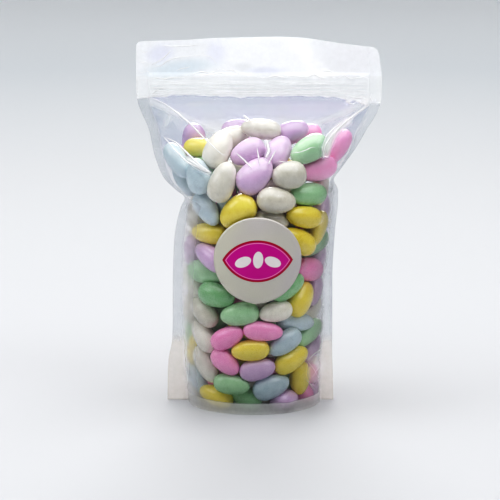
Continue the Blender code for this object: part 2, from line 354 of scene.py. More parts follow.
# Those that the photograph shows: colour, pixel column and row, length and width in pixels, turn in degrees
# from level, and layer, where 0 lies on the film and 1 and 2 lie behind
seenAlmonds = (
    ("lilac", 192, 142, 30, 26, 80, 1),
    ("yellow", 202, 147, 28, 20, 0, 1),
    ("mint", 200, 167, 28, 18, 10, 1),
    ("white", 217, 151, 42, 28, 62, 0),
    ("white", 232, 138, 34, 24, 20, 1),
    ("lilac", 238, 126.5, 34, 24, 10, 2),
    ("white", 262, 130, 42, 22, -10, 0),
    ("lilac", 292, 132, 34, 24, 20, 0),
    ("pink", 305, 134, 30, 20, 10, 2),
    ("lilac", 248, 152, 38, 25, 25, 1),
    ("lilac", 277, 151, 32, 27, 60, 0),
    ("mint", 307.5, 153, 42, 27, 32, 0),
    ("pink", 343.5, 151, 40, 24, 60, 0),
    ("pink", 323, 171.5, 37, 27, 15, 0),
    ("lilac", 256, 176, 44, 31, 42, 0),
    ("white", 286, 175, 32, 29, 10, 0),
    ("white", 223, 182, 44, 28, 66, 0),
    ("blue", 199, 175, 38, 27, 100, 0),
    ("blue", 178, 163, 40, 25, -52, 0),
    ("blue", 181, 182, 38, 23, -55, 1),
    ("blue", 205, 210, 41, 24, -58, 0),
    ("white", 277, 199, 40, 27, -5, 0),
    ("mint", 308, 194, 38, 24, 8, 0),
    ("yellow", 238, 212, 44, 31, 36, 0),
    ("yellow", 304, 217, 41, 23, -5, 0),
    ("white", 272, 222, 40, 26, 0, 1),
    ("yellow", 208, 235, 36, 22, -5, 0),
    ("yellow", 314, 225, 34, 22, 20, 2),
    ("yellow", 302, 240, 40, 25, -25, 0),
    ("mint", 317, 246, 38, 25, 30, 1),
    ("white", 191, 213, 34, 24, 75, 1),
    ("lilac", 190, 254, 38, 23, 88, 1),
    ("lilac", 209, 257, 38, 24, -42, 0),
    ("mint", 207, 274, 38, 24, -25, 0),
    ("white", 190, 282, 36, 23, -65, 1),
    ("mint", 216, 297, 37, 26, -22, 0),
    ("pink", 231, 290, 38, 23, -32, 1),
    ("mint", 289, 289, 38, 24, 32, 0),
    ("yellow", 301, 300, 38, 28, 62, 0),
    ("pink", 312, 271, 36, 25, -5, 0),
    ("mint", 241, 316, 40, 25, 5, 0),
    ("white", 274, 312, 30, 22, 12, 0),
    ("white", 203, 310, 34, 24, -52, 0),
    ("mint", 217, 321, 32, 22, 40, 1),
    ("blue", 296, 321, 40, 21, -12, 0),
    ("white", 317, 310, 34, 23, 50, 1),
    ("mint", 315, 334, 36, 21, 38, 0),
    ("pink", 263, 332, 41, 21, -10, 0),
    ("pink", 229, 340, 33, 22, 33, 0),
    ("white", 204, 337, 36, 24, -58, 0),
    ("mint", 190, 332, 34, 22, 88, 1),
    ("blue", 285, 345, 38, 23, 33, 0),
    ("yellow", 251, 351, 40, 23, 0, 0),
    ("pink", 226, 363, 35, 23, -48, 0),
    ("white", 204, 364, 40, 24, -62, 0),
    ("yellow", 187, 352, 34, 22, 80, 1),
    ("yellow", 292, 359, 38, 24, 30, 0),
    ("lilac", 257, 369, 38, 23, 12, 0),
    ("lilac", 315, 348, 34, 22, 55, 1),
    ("yellow", 299, 378, 34, 24, 86, 0),
    ("mint", 230, 383, 37, 22, -8, 0),
    ("blue", 270, 387, 40, 25, 20, 0),
    ("blue", 200, 378, 34, 23, -60, 1),
    ("yellow", 214, 396, 34, 22, -20, 1),
    ("mint", 246, 401, 38, 23, -28, 1),
    ("white", 187, 306, 32, 22, 90, 2),
    ("lilac", 320, 290, 34, 22, 80, 2),
    ("white", 327, 190, 30, 20, 70, 2),
    ("lilac", 325, 210, 30, 22, 75, 1),
    ("yellow", 324, 232, 28, 20, 70, 1),
    ("lilac", 323, 262, 30, 20, 80, 2),
    ("white", 192, 236, 26, 20, 60, 2),
)

# Of these, some are painted a deeper colour as painted shade and some paler as painted light, where less or
# more light falls on them
paintedShadeAlmonds = {(277, 199), (286, 175), (209, 257), (312, 271), (289, 289), (216, 297), (203, 310),
                 (285, 345), (270, 387), (229, 340), (304, 217), (262, 130), (292, 132), (302, 240),
                 (301, 300), (317, 246), (324, 232)}
paintedLightAlmonds = {(277, 151), (307.5, 153), (323, 171.5), (343.5, 151), (199, 175), (178, 163), (207, 274),
                (315, 334), (204, 337), (204, 364), (205, 210), (238, 212)}


def turned(axis, angle):
    # rotation matrices for rows of axes and angles, by Rodrigues' formula
    k = np.zeros((len(axis), 3, 3))
    k[:, 0, 1], k[:, 0, 2] = -axis[:, 2], axis[:, 1]
    k[:, 1, 0], k[:, 1, 2] = axis[:, 2], -axis[:, 0]
    k[:, 2, 0], k[:, 2, 1] = -axis[:, 1], axis[:, 0]
    s, c = np.sin(angle)[:, None, None], (1 - np.cos(angle))[:, None, None]
    return np.eye(3) + s * k + c * (k @ k)


def reach(shape, way):
    # from an ellipsoid's middle to its farthest point along way, as an arrow
    arm = np.einsum("nij,nj->ni", shape, way)
    return arm / np.sqrt((arm * way).sum(1))[:, None]


def startAlmonds(rng):
    # Each almond's middle, its three axes and its half sizes at the start: those that the photograph shows
    # lie on their lines of sight, turned as they look, and the others are scattered through the rest.
    count, known = almonds["count"], len(seenAlmonds)
    eye, right, up, forward = cameraFrame()
    half = np.empty((count, 3))
    half[:] = np.array([almonds["length"], almonds["width"], almonds["thickness"]]) / 2
    half *= 1.01 + almonds["spread"] * rng.standard_normal((count, 3)).clip(-1.6, 1.6)
    place, frameOf = np.empty((count, 3)), np.empty((count, 3, 3))
    column, row, long, wide, turn, layer = np.array([s[1:] for s in seenAlmonds], float).T
    ways, turn = lineOfSight(column, row), np.radians(turn)
    half[:known, 0] = np.maximum(long * photo["mmPerPixel"] * 0.98, 25.0) / 2
    half[:known, 1] = wide * photo["mmPerPixel"] * 0.98 / 2
    half[:known, 2] = np.clip(half[:known, 1] * 2 * 0.84, 12.5, 16.5) / 2

    # Along each line of sight, the first place where the almond fits under the film, or else the deepest one
    t = photo["distance"] + np.arange(-90.0, 90.0, 0.5)
    probe = (eye + ways[:, None] * t[None, :, None]).reshape(-1, 3)
    room = np.where(wallValue(probe, 0.0) > 0, wallAt(probe, 0.0)[0], -9.0).reshape(known, -1)
    fits = room > (half[:known, 2] + 0.5 + settling["layerStep"] * layer)[:, None]
    stop = np.where(fits.any(1), fits.argmax(1), room.argmax(1))
    place[:known] = eye + ways * t[stop][:, None]
    out = wallAt(place[:known], 0.0)[1]
    aim = np.cos(turn)[:, None] * right + np.sin(turn)[:, None] * up
    lean = np.clip(-(aim * out).sum(1) / np.minimum((forward * out).sum(1), -0.45), -0.6, 0.6)
    half[:known, 0] = np.minimum(half[:known, 0] * np.sqrt(1 + lean**2), 15.6)  # as long as it looks
    aim = aim + lean[:, None] * forward
    aim /= np.linalg.norm(aim, axis=1)[:, None]
    flatWay = out - (out * aim).sum(1)[:, None] * aim
    flatWay /= np.linalg.norm(flatWay, axis=1)[:, None]
    frameOf[:known] = np.stack([aim, np.cross(flatWay, aim), flatWay], 2)

    rest = np.empty((0, 3))
    while len(rest) < count - known:
        trial = rng.uniform([-80, -52, 6], [80, 52, almonds["top"]], (4000, 3))
        trial = trial[(wallValue(trial, 0.0) > 0) & (wallAt(trial, 0.0)[0] > 6.5)]
        for p in trial:
            if np.linalg.norm(np.vstack([place[:known], rest]) - p, axis=1).min() > 11.5:
                rest = np.vstack([rest, p])
            if len(rest) >= count - known:
                break
    place[known:] = rest
    frameOf[known:] = np.linalg.qr(rng.standard_normal((count - known, 3, 3)))[0]
    frameOf[np.linalg.det(frameOf) < 0, :, 2] *= -1
    return place, frameOf, half, ways, layer


def pushApart(place, shape, size, inertia, pinned):
    # Two ellipsoids that overlap part along the direction n in which they overlap least: each moves and
    # turns by its share of the depth. Returns the moves, the turns, the hits of each almond and the deepest
    # overlap.
    count = len(place)
    move, spin, hits = np.zeros((count, 3)), np.zeros((count, 3)), np.zeros(count)
    gap = place[None] - place[:, None]
    a, b = np.nonzero(np.triu((gap**2).sum(2) < (2.05 * size[:, 0].max()) ** 2, 1))
    r = gap[a, b]
    n = np.linalg.solve(shape[a] + shape[b], r[:, :, None])[:, :, 0]
    n /= np.linalg.norm(n, axis=1)[:, None]
    for _ in range(2):
        apart = r - reach(shape[a], n) - reach(shape[b], n)
        n = n + 0.6 * (apart - (apart * n).sum(1)[:, None] * n) / np.linalg.norm(r, axis=1)[:, None]
        n /= np.linalg.norm(n, axis=1)[:, None]
    armA, armB = reach(shape[a], n), reach(shape[b], n)
    deep = ((armA + armB - r) * n).sum(1)
    hit = deep > 0
    deepest = deep.max()
    a, b, n, deep, armA, armB = a[hit], b[hit], n[hit], deep[hit], armA[hit], armB[hit]
    turnA, turnB = np.cross(armA, n), np.cross(-armB, n)
    easeA, easeB = np.where(pinned[a], settling["ease"], 1.0), np.where(pinned[b], settling["ease"], 1.0)
    weight = easeA * (1 + (turnA**2).sum(1) / inertia[a]) + easeB * (1 + (turnB**2).sum(1) / inertia[b])
    push = (deep / weight)[:, None]
    np.add.at(move, a, -push * n * easeA[:, None])
    np.add.at(move, b, push * n * easeB[:, None])
    np.add.at(spin, a, -push * turnA * (easeA / inertia[a])[:, None])
    np.add.at(spin, b, push * turnB * (easeB / inertia[b])[:, None])
    np.add.at(hits, a, 1)
    np.add.at(hits, b, 1)
    return move, spin, hits, deepest


def holdIn(place, shape, inertia, lid, move, spin, hits):
    # The wall pushes at the point that lies farthest out, the floor at the lowest one and the lid at the
    # highest. What they push is added to move, spin and hits, and an almond that got out is brought back.
    inset, farthest, up = settling["inset"], settling["farthest"], cameraFrame()[2]
    out = wallAt(place, inset)[1]
    for _ in range(2):
        arm = reach(shape, out)
        gapTo, out = wallAt(place + arm, inset)
    over = np.clip(-gapTo, 0, farthest) * (wallValue(place, inset) < 0.98)
    lost = wallValue(place, inset) < 0
    inward = np.stack([place[:, 0] - quickSection(place[:, 2])[0], place[:, 1], 0 * place[:, 2]], 1)
    place[lost] -= settling["bringBack"] * inward[lost] / np.linalg.norm(inward[lost], axis=1)[:, None]
    under = np.tile([0.0, 0.0, -1.0], (len(place), 1))
    above = np.tile(up, (len(place), 1))
    foot, head = reach(shape, under), reach(shape, above)
    sunk = np.maximum(almonds["floor"] - (place[:, 2] + foot[:, 2]), 0)
    risen = np.clip((place + head) @ up - lid, 0, farthest)
    for deep, arm, way in ((over, arm, out), (sunk, foot, under), (risen, head, above)):
        turnBy = np.cross(arm, way)
        push = (deep / (1 + (turnBy**2).sum(1) / inertia))[:, None]
        move -= push * way * settling["firm"]
        spin -= push * turnBy / inertia[:, None]
        hits += deep > 0


def stepBack(place, rank, known):
    # the others keep behind those that show, and deeper layers behind nearer ones
    right, up, forward = cameraFrame()[1:]
    away = place @ forward
    flatPlace = np.stack([place @ right, place @ up], 1)
    besides = np.linalg.norm(flatPlace[:, None] - flatPlace[None, :known], axis=2)
    hides = (besides < settling["hideWithin"]) & (rank[:, None] > rank[None, :known])
    hides &= away[:, None] < away[None, :known] + settling["hideDepth"]
    place[hides.any(1)] += settling["behind"] * forward


def clearSides(place, frameOf, half):
    # beside the side seams the film can't give way, so almonds there are moved in to clear it
    shape = (frameOf * half[:, None, :] ** 2) @ frameOf.transpose(0, 2, 1)
    for _ in range(4):
        out = wallAt(place, almonds["sideClear"])[1]
        for _ in range(2):
            arm = reach(shape, out)
            gapTo, out = wallAt(place + arm, almonds["sideClear"])
        beside = np.abs(out[:, 0]) > 0.5
        place -= (np.clip(-gapTo, 0, 4.0) * beside)[:, None] * out
        foot = place[:, 2] - np.sqrt(shape[:, 2, 2])
        place[:, 2] += np.maximum(almonds["floor"] - 0.6 - foot, 0)


def layAlmonds():
    # Fills the bag: each almond is an ellipsoid that grows to its size while overlaps push and turn it, the
    # wall and floor hold it in, and those that the photograph shows are drawn back to their lines of sight.
    # Where many press on one another some overlap is left, mostly under 1 mm, and up to 5 mm low in the bag.
    count, known, rounds = almonds["count"], len(seenAlmonds), settling["rounds"]
    place, frameOf, half, ways, layer = startAlmonds(np.random.default_rng(almonds["seed"]))
    wanted, wantedFrame = place[:known].copy(), frameOf[:known].copy()
    pinned = np.arange(count) < known
    lid = np.where(pinned, almonds["lid"], almonds["lid"] - 4)
    rank = np.concatenate([layer, np.full(count - known, 3.0)])
    for step in range(rounds):
        late = step >= rounds * settling["late"]
        size = half * min(1.0, 0.62 + 0.38 * step / (rounds * settling["grown"]))
        size[:known] = half[:known] * min(1.0, 0.85 + 0.15 * step / (rounds * settling["grownSeen"]))
        shape = (frameOf * size[:, None, :] ** 2) @ frameOf.transpose(0, 2, 1)
        inertia = (size[:, 0] ** 2 + size[:, 1] ** 2) / 5
        move, spin, hits, deepest = pushApart(place, shape, size, inertia, pinned)
        holdIn(place, shape, inertia, lid, move, spin, hits)
        share = settling["crowd"] / np.maximum(hits, settling["crowd"])
        place += move * share[:, None]
        spin *= share[:, None]
        if step < rounds - settling["calm"]:
            place[~pinned, 2] -= settling["sink"]
        stepBack(place, rank, known)
        off = wanted - place[:known]
        off -= (off * ways).sum(1)[:, None] * ways
        place[:known] += settling["home"][late] * off
        place[:known] -= ways * np.where(layer == 0, *settling["toFilm"])[:, None] * (not late)
        homeTurn = np.cross(frameOf[:known].transpose(0, 2, 1), wantedFrame.transpose(0, 2, 1)).sum(1)
        spin[:known] += settling["homeTurn"] * homeTurn
        angle = np.linalg.norm(spin, axis=1)
        angleNow = np.minimum(angle, settling["mostTurn"])
        frameOf = turned(spin / (angle[:, None] + 1e-12), angleNow) @ frameOf
        if step % 100 == 99 or step == rounds - 1:
            u, _, v = np.linalg.svd(frameOf)
            frameOf = u @ v
            print("round", step + 1, "deepest overlap", round(float(deepest), 2), "mm")
    clearSides(place, frameOf, half)
    print("laid", count, "almonds, heap", round(float(np.sort(place[:, 2])[-3:].mean() + 7)), "mm high")
    return place, frameOf, half


almondPlace, almondFrame, almondHalf = layAlmonds()

# Sugar shell, panned and polished: many coats of sugar syrup tumbled dry and waxed, so it is smooth and
# satin under a thin glossy coat of wax, faintly see-through at the skin, and mottled where the colour took
# unevenly. Some shells are painted deeper or paler as painted shade and light.
sugarShell = {
    "white": ("#f2eee1", "#c9c4b3"),
    "pink": ("#fdafd8", "#f092c4"),
    "lilac": ("#dcc0de", "#c7a6cb"),
    "blue": ("#d0dfe4", "#a6bac1"),
    "mint": ("#b0d8ab", "#84b883"),
    "yellow": ("#f4e268", "#e4cf52"),
    "mottle": 5.0,        # mm between one cloud of colour and the next
    "grain": 0.9,         # mm between the pits and specks of the sugar
    "gloss": (0.24, 0.34),
    "pit": 0.00006,       # depth of the grain in metres
}


def sugarShellFinish(colour):
    material, tree = newMaterial("panned_sugar_" + colour)
    pale, deep = sugarShell[colour]
    low, high = sugarShell["gloss"]
    place = add(tree, "TexCoord").outputs["Object"]
    cloud = add(tree, "TexNoise", {"Scale": 1000 / sugarShell["mottle"], "Detail": 3.0, "Vector": place})
    speck = add(tree, "TexNoise", {"Scale": 1000 / sugarShell["grain"], "Detail": 2.0, "Vector": place})
    # each almond's tone: random, with painted shade or painted light on some of those that show
    batchAndShade = add(tree, "Attribute", {"attribute_name": "batchAndShade"})
    clouded = add(tree, "MapRange", {"From Min": 0.38, "From Max": 0.66, "To Min": 0.0, "To Max": 0.3,
                                     "Value": cloud.outputs["Fac"]})
    share = add(tree, "Math", {"operation": "ADD", "use_clamp": True, 0: clouded.outputs["Result"],
                               1: batchAndShade.outputs["Fac"]})
    shade = add(tree, "Mix", {"data_type": "RGBA", 0: share.outputs[0], 6: linear(pale), 7: linear(deep)})
    gloss = add(tree, "MapRange", {**mostNoise, "To Min": low, "To Max": high, "Value": speck.outputs["Fac"]})
    relief = add(tree, "Bump", {"Strength": 0.5, "Distance": sugarShell["pit"],
                                "Height": speck.outputs["Fac"]})
    shell = add(tree, "BsdfPrincipled", {
        "Base Color": shade.outputs[2], "Roughness": gloss.outputs["Result"],
        "Normal": relief.outputs["Normal"], "IOR": 1.5,
        "Subsurface Weight": 0.12, "Subsurface Radius": (1.0, 0.8, 0.65), "Subsurface Scale": 0.0015,
        "Coat Weight": 0.5, "Coat Roughness": 0.15, "Coat IOR": 1.45})
    add(tree, "OutputMaterial", {"Surface": shell.outputs[0]})
    return material


def almondShape(around, along):
    # A sphere made a little fuller: u runs round the long axis and v along it, x = -cos(pi v), the ring's
    # radius is sin(pi v), and both are divided by (|x|^p + ring^p)^(1/p)
    p = almonds["fullness"]
    v = np.linspace(0, 1, along)[:, None]
    u = np.linspace(0, 2 * math.pi, around + 1)[None, :]
    x, ring = -np.cos(math.pi * v), np.sin(math.pi * v)
    full = (np.abs(x) ** p + ring**p) ** (1 / p)
    return np.stack([x / full + 0 * u, ring / full * np.cos(u), ring / full * np.sin(u)], -1)


def makeAlmonds():
    # Each shell is that sphere stretched to its size, narrower at one end and swollen by long ripples, and
    # all of one colour are one piece. Returns which end of each is narrower: 1 or -1 along its long axis.
    rng = np.random.default_rng(almonds["seed"] + 1)
    count, known = almonds["count"], len(seenAlmonds)
    names = [s[0] for s in seenAlmonds]
    words, weights = zip(*almonds["mixed"])
    names += [words[i] for i in rng.choice(len(words), count - known, p=np.array(weights) / sum(weights))]
    gap = wallAt(almondPlace, 0.0)[0]
    tip = np.where(rng.random(count) < 0.5, 1.0, -1.0)
    batchAndShade = rng.uniform(0.0, 0.35, count)
    # a random tone for each, and on those that show, painted shade (deeper) or painted light (paler)
    batchAndShade[:known] += [0.45 * (s[1:3] in paintedShadeAlmonds) - 0.3 * (s[1:3] in paintedLightAlmonds) for s in seenAlmonds]
    for word in words:
        shells, batchAndShadeValues = [], []
        for i in [k for k in range(count) if names[k] == word]:
            shows = i < known or gap[i] < almonds["fineWithin"] or almondPlace[i, 2] > almonds["fineAbove"]
            around, along = almonds["fine"] if shows else almonds["coarse"]
            unit = almondShape(around, along)
            swell = 1 + almonds["dent"] * ripples(1000 + i, unit, (1.6, 3.2), 5)[..., None]
            narrow = 1 - tip[i] * almonds["taper"] * unit[..., :1]
            body = unit * swell * np.concatenate([np.ones_like(narrow), narrow, narrow], -1)
            shells.append(almondPlace[i] + (body * almondHalf[i] * almonds["shrink"]) @ almondFrame[i].T)
            batchAndShadeValues.append(np.full(unit.shape[:2], batchAndShade[i]).ravel())
        makePiece("almonds_" + word, *joined(shells), sugarShellFinish(word), batchAndShade=np.concatenate(batchAndShadeValues))
    print("made", {word: names.count(word) for word in words}, "almonds by colour")
    return tip


almondTip = makeAlmonds()

# The film bag: front and back panels welded along the sides and the top, and a folded base panel
film = {
    # heights, and how many rows lie between: the strip's part has the finest
    "rowSteps": ((0.0, bag["facetTop"], 180), (bag["facetTop"], 249.0, 84), (249.0, bag["top"], 22)),
    "columns": 150,
    "finColumns": 6,
    "finHalf": 0.16,       # two films of 0.125 mm with a little air
    "slack": -1.1,         # where the film would rest between almonds, against the drawn wall
    "clear": 0.5,          # between an almond's skin and the film
    "within": 6.0,         # the most that an almond may push the film out of the drawn wall
    "pull": 0.02,          # how strongly the film returns to its rest
    "rounds": 90,
    "puckerLength": 9.0,   # from one pucker of the side seams to the next
    "puckerHeight": 0.5,
    "dome": 1.6,           # how far the front bulges under the label
    "wave": 0.8,           # how far the open header bows to and fro
    # the height of the strip's lower edge, by x
    "zipEdge": ((-89, 225.2), (-79, 225.5), (-57, 227.7), (-14, 226.2), (30, 227.0), (63, 224.7), (80, 221.0),
                (89, 221.5)),
    "zipLines": (228.8, 230.3, 232.7, 235.6, 237.0),
    "zipGrooves": (231.5, 234.3, 239.2),
    "baseRings": 14,
    # at the right, that cloud is painted shade
    "sideCloudAndShade": (12.0, 8.5),  # how far the cloud along the seams reaches in, at the left and the right
}


def rowHeights():
    parts = [np.linspace(low, high, count, endpoint=False) for low, high, count in film["rowSteps"]]
    return np.append(np.concatenate(parts), film["rowSteps"][-1][1])


def filmSheet(side):
    # One panel as a grid: rows climb, columns run from the left seam's edge to the right seam's edge.
    # Between the seams x = middle + half * sin(a) and y = side * (fin + (depth - fin) * sqrt(1 - out^2)).
    z = rowHeights()
    middle, half, depth, flat = (value[:, None] for value in section(z))
    a = np.linspace(-1, 1, film["columns"] - 2 * film["finColumns"] + 1)[None, :] * math.pi / 2
    x = middle + half * np.sin(a)
    out = np.clip((np.abs(x - middle) - flat) / (half - flat), 0, 1)
    y = film["finHalf"] + np.maximum(depth - film["finHalf"], 0.2) * np.sqrt(1 - out**2)
    step = np.arange(film["finColumns"])[None, :] / film["finColumns"]
    leftEdge, rightEdge = through(bag["leftEdge"], z)[:, None], through(bag["rightEdge"], z)[:, None]
    leftX = -leftEdge + (middle - half + leftEdge) * step
    rightX = rightEdge + (middle + half - rightEdge) * step[:, ::-1]
    finY = film["finHalf"] * np.sqrt(np.minimum(step * 3, 1))
    x = np.concatenate([leftX, x, rightX], 1)
    y = side * np.concatenate([finY + 0 * z[:, None], y, finY[:, ::-1] + 0 * z[:, None]], 1)
    lift = np.clip((z[:, None] - bag["archFrom"]) / (bag["top"] - bag["archFrom"]), 0, 1)
    height = z[:, None] + (through(bag["topEdge"], x) - bag["top"]) * lift
    x = x - bag["drawnIn"] * np.clip(x / bag["halfWidth"], 0, 1) * lift
    return np.stack([x, y, height], -1)


def roundCorners(points):
    # draws the header's top corners in to a quarter circle
    radius = bag["cornerRadius"]
    for sign, edge in ((-1, points[-1, 0]), (1, points[-1, -1])):
        centreX, centreZ = sign * edge[0] - radius, edge[2] - radius
        dx, dz = sign * points[..., 0] - centreX, points[..., 2] - centreZ
        out = np.hypot(dx, dz)
        corner = (dx > 0) & (dz > 0) & (out > radius)
        ease = np.where(corner, radius / np.maximum(out, 1e-6), 1.0)
        points[..., 0] = np.where(corner, sign * (centreX + dx * ease), points[..., 0])
        points[..., 2] = np.where(corner, centreZ + dz * ease, points[..., 2])


def outward(points, side):
    # the normals of a grid, from the cross product of its two directions
    normal = np.cross(np.gradient(points, axis=1), np.gradient(points, axis=0)) * -side
    return normal / np.maximum(np.linalg.norm(normal, axis=-1, keepdims=True), 1e-9)


def shellReach(toward, tip):
    # how far a shell reaches from its middle in a direction, as a share of its ellipsoid: the radius of
    # almondShape with its narrow end, and the highest of its ripples
    x, ring, power = toward[:, 0], np.hypot(toward[:, 1], toward[:, 2]), almonds["fullness"]
    share = np.ones_like(x)
    for _ in range(3):
        narrow = 1 - tip * almonds["taper"] * share * x
        share = (np.abs(x) ** power + (ring / narrow) ** power) ** (-1 / power)
    return share * almonds["shrink"] * (1 + 1.5 * almonds["dent"])


noAlmond = -50.0  # what a point needs where no almond lies under it


def needed(points, normal):
    # how far out along its normal each point must go to clear every almond: the larger root of the
    # quadratic where the line leaves the ellipsoid, which is then swollen to the shell's reach there
    need = np.full(points.shape[:2], noAlmond)
    for centre, axes, half, tip in zip(almondPlace, almondFrame, almondHalf, almondTip):
        off = points - centre
        near = (off**2).sum(-1) < (half[0] + 9) ** 2
        if not near.any():
            continue
        p, n = off[near] @ axes / half, normal[near] @ axes / half
        a, b, swollen = (n * n).sum(1), (p * n).sum(1), 1.06
        for _ in range(3):
            inside = b * b - a * ((p * p).sum(1) - swollen**2)
            way = (-b + np.sqrt(np.maximum(inside, 0))) / a
            leaves = p + n * way[:, None]
            swollen = shellReach(leaves / np.linalg.norm(leaves, axis=1)[:, None], tip)
        way = np.where(inside > 0, way, noAlmond)
        need[near] = np.maximum(need[near], np.where(way < film["within"], way, noAlmond))
    return need + film["clear"]


labelPaper = {
    "radius": 31.75,
    "x": -1.0,
    "height": 116.0,
    "thickness": 0.14,
    "proud": 0.45,         # how far its front face stands off the film
}


def sealRelief(x, height, row):
    # the crushed side seals beside the zip: short ripples, strongest 82.5 mm from the middle
    sealed = np.exp(-((np.abs(x) - 82.5) / 3.5) ** 2) * eased(row, 226, 232)
    return 0.12 * sealed * ripples(53, np.stack([x, height], -1), (3, 8), 9)


def stretched(rest, need, body):
    # How far out each point lies: at least as far as it needs, and else at the mean of its four neighbours,
    # drawn a little to its rest, as a taut skin does. The seams stay where they are.
    offset = np.maximum(rest, need)
    for _ in range(film["rounds"]):
        near = np.pad(offset, 1, mode="edge")
        mean = (near[:-2, 1:-1] + near[2:, 1:-1] + near[1:-1, :-2] + near[1:-1, 2:]) / 4
        offset = np.maximum(need, mean * (1 - film["pull"]) + rest * film["pull"])
        offset = np.where(body <= 0, 0, offset)
    return offset


def shapeHeader(points, side, z, body):
    # Moves points to the front or back: the seams ripple as one, and so does the header, which also leans
    # back. Relief lines follow the strip's ribs, and the film is crumpled over it and at its right end.
    middle, half = (value[:, None] for value in section(rowHeights())[:2])
    across = np.abs(points[..., 0] - middle)
    finWave = np.sin(2 * math.pi * z / 23 + points[..., 0] / 9) * 0.45 * (1 - body)
    points[..., 1] += finWave * (1 - eased(z, 205, 224)) * eased(z, 2, 20)
    flatPlace = np.stack([points[..., 0], points[..., 2]], -1)
    wave = ripples(21, flatPlace, (60, 130), 6) + 0.16 * ripples(22, flatPlace, (16, 36), 6)
    points[..., 1] += film["wave"] * wave * eased(z, 241, 262)
    x = points[..., 0]
    leaning = 0.42 + 0.58 * eased(x, -52, -30) * (1 - eased(x, 36, 58))  # the middle leans most
    points[..., 1] += bag["leanBack"] * leaning * np.clip((z - 241) / 26, 0, 1) ** 1.12
    crumple = np.exp(-((z - 243.5) / 3.0) ** 2) * eased(x, -50, -30) * (1 - eased(x, 78, 84))
    points[..., 1] += 0.1 * crumple * ripples(52, flatPlace, (3.5, 9), 9)
    points[..., 1] += sealRelief(x, points[..., 2], z)
    lines = sum(np.exp(-((z - line - 0.5 * ripples(31 + i, points[..., :1], (30, 90), 4)) / 0.55) ** 2)
                for i, line in enumerate(film["zipLines"]))
    broken = eased(ripples(40, flatPlace, (6, 30), 8), -0.9, 0.5)
    points[..., 1] += side * 0.3 * lines * broken * eased(across, half, half - 6)
    crush = eased(x, 55, 78) * np.exp(-((z - 224) / 5.0) ** 2) * (1 - eased(x, 82, 88))
    points[..., 1] += side * crush * 0.5 * ripples(51, points, (4, 9), 8)


def filmPoints(side):
    # the panel as it lies: drawn wall, pushed out by almonds, stretched between them, then puckers and waves
    points = filmSheet(side)
    z = rowHeights()[:, None] + 0 * points[..., 0]
    normal = outward(points, side)
    middle, half, depth, flat = (value[:, None] for value in section(rowHeights()))
    across = np.abs(points[..., 0] - middle)
    body = eased(half - across, 0.0, 5.0) * eased(z, 0.5, 6.0)  # 0 in the seams
    facet = eased(flat - across, -6, 4) * eased(z, 176, 190)
    rest = film["slack"] * body * (1 - 0.8 * facet) * (1 - eased(z, 200, 224))
    need = np.where(body > 0.05, needed(points, normal), noAlmond)
    if side < 0:
        fromLabel = np.hypot(points[..., 0] - labelPaper["x"], points[..., 2] - labelPaper["height"])
        under = fromLabel < labelPaper["radius"] + 1.5
        plateau = np.clip(need[under].max(), 0.3, 2.0)
        dome = film["dome"] * (1 - ((points[..., 2] - labelPaper["height"]) / labelPaper["radius"]) ** 2)
        need = np.where(under, plateau + dome, need)
        print("film under the label stands out", round(float(plateau), 2), "mm")
    offset = stretched(rest, need, body)
    fine = ripples(5 if side < 0 else 6, points, (14, 40)) * 0.16 + ripples(7, points, (5, 11)) * 0.05
    if side < 0:
        fine = fine * eased(fromLabel, labelPaper["radius"] - 2, labelPaper["radius"] + 6)
    offset = offset + fine * body * (1 - eased(z, 222, 226))
    pucker = np.sin(2 * math.pi * (z + 3 * np.sin(z / 17)) / film["puckerLength"]) * film["puckerHeight"]
    pucker = pucker * np.exp(-np.maximum(half - across, 0) / 7) * (1 - eased(z, 215, 224)) * eased(z, 3, 12)
    edge = np.arange(points.shape[1])
    pucker = pucker * eased(np.minimum(edge, edge[::-1]), 0, 8)[None, :]
    offset = offset + np.where(body > 0, pucker * 0.7, 0)
    offset = np.maximum(offset, np.where(body > 0.05, need - 0.5 * film["clear"], noAlmond))
    points = points + normal * offset[..., None]
    shapeHeader(points, side, z, body)
    points[..., 2] = np.maximum(points[..., 2], 0.3 * eased(z, 0.0, 1.0))  # only the rim touches the ground
    roundCorners(points)
    return points


frontPoints = filmPoints(-1)
backPoints = filmPoints(1)
backPoints[-1, :, 1] = frontPoints[-1, :, 1]  # welded along the top and both sides
backPoints[:, 0, 1] = frontPoints[:, 0, 1]
backPoints[:, -1, 1] = frontPoints[:, -1, 1]
print("film shaped,", frontPoints.shape[0], "rows of", frontPoints.shape[1], "points a side")


def tinted(colour, amount):
    # one value of the veil: red, green, blue and the amount of cloud
    return np.array(linear(colour)[:3] + (amount,))


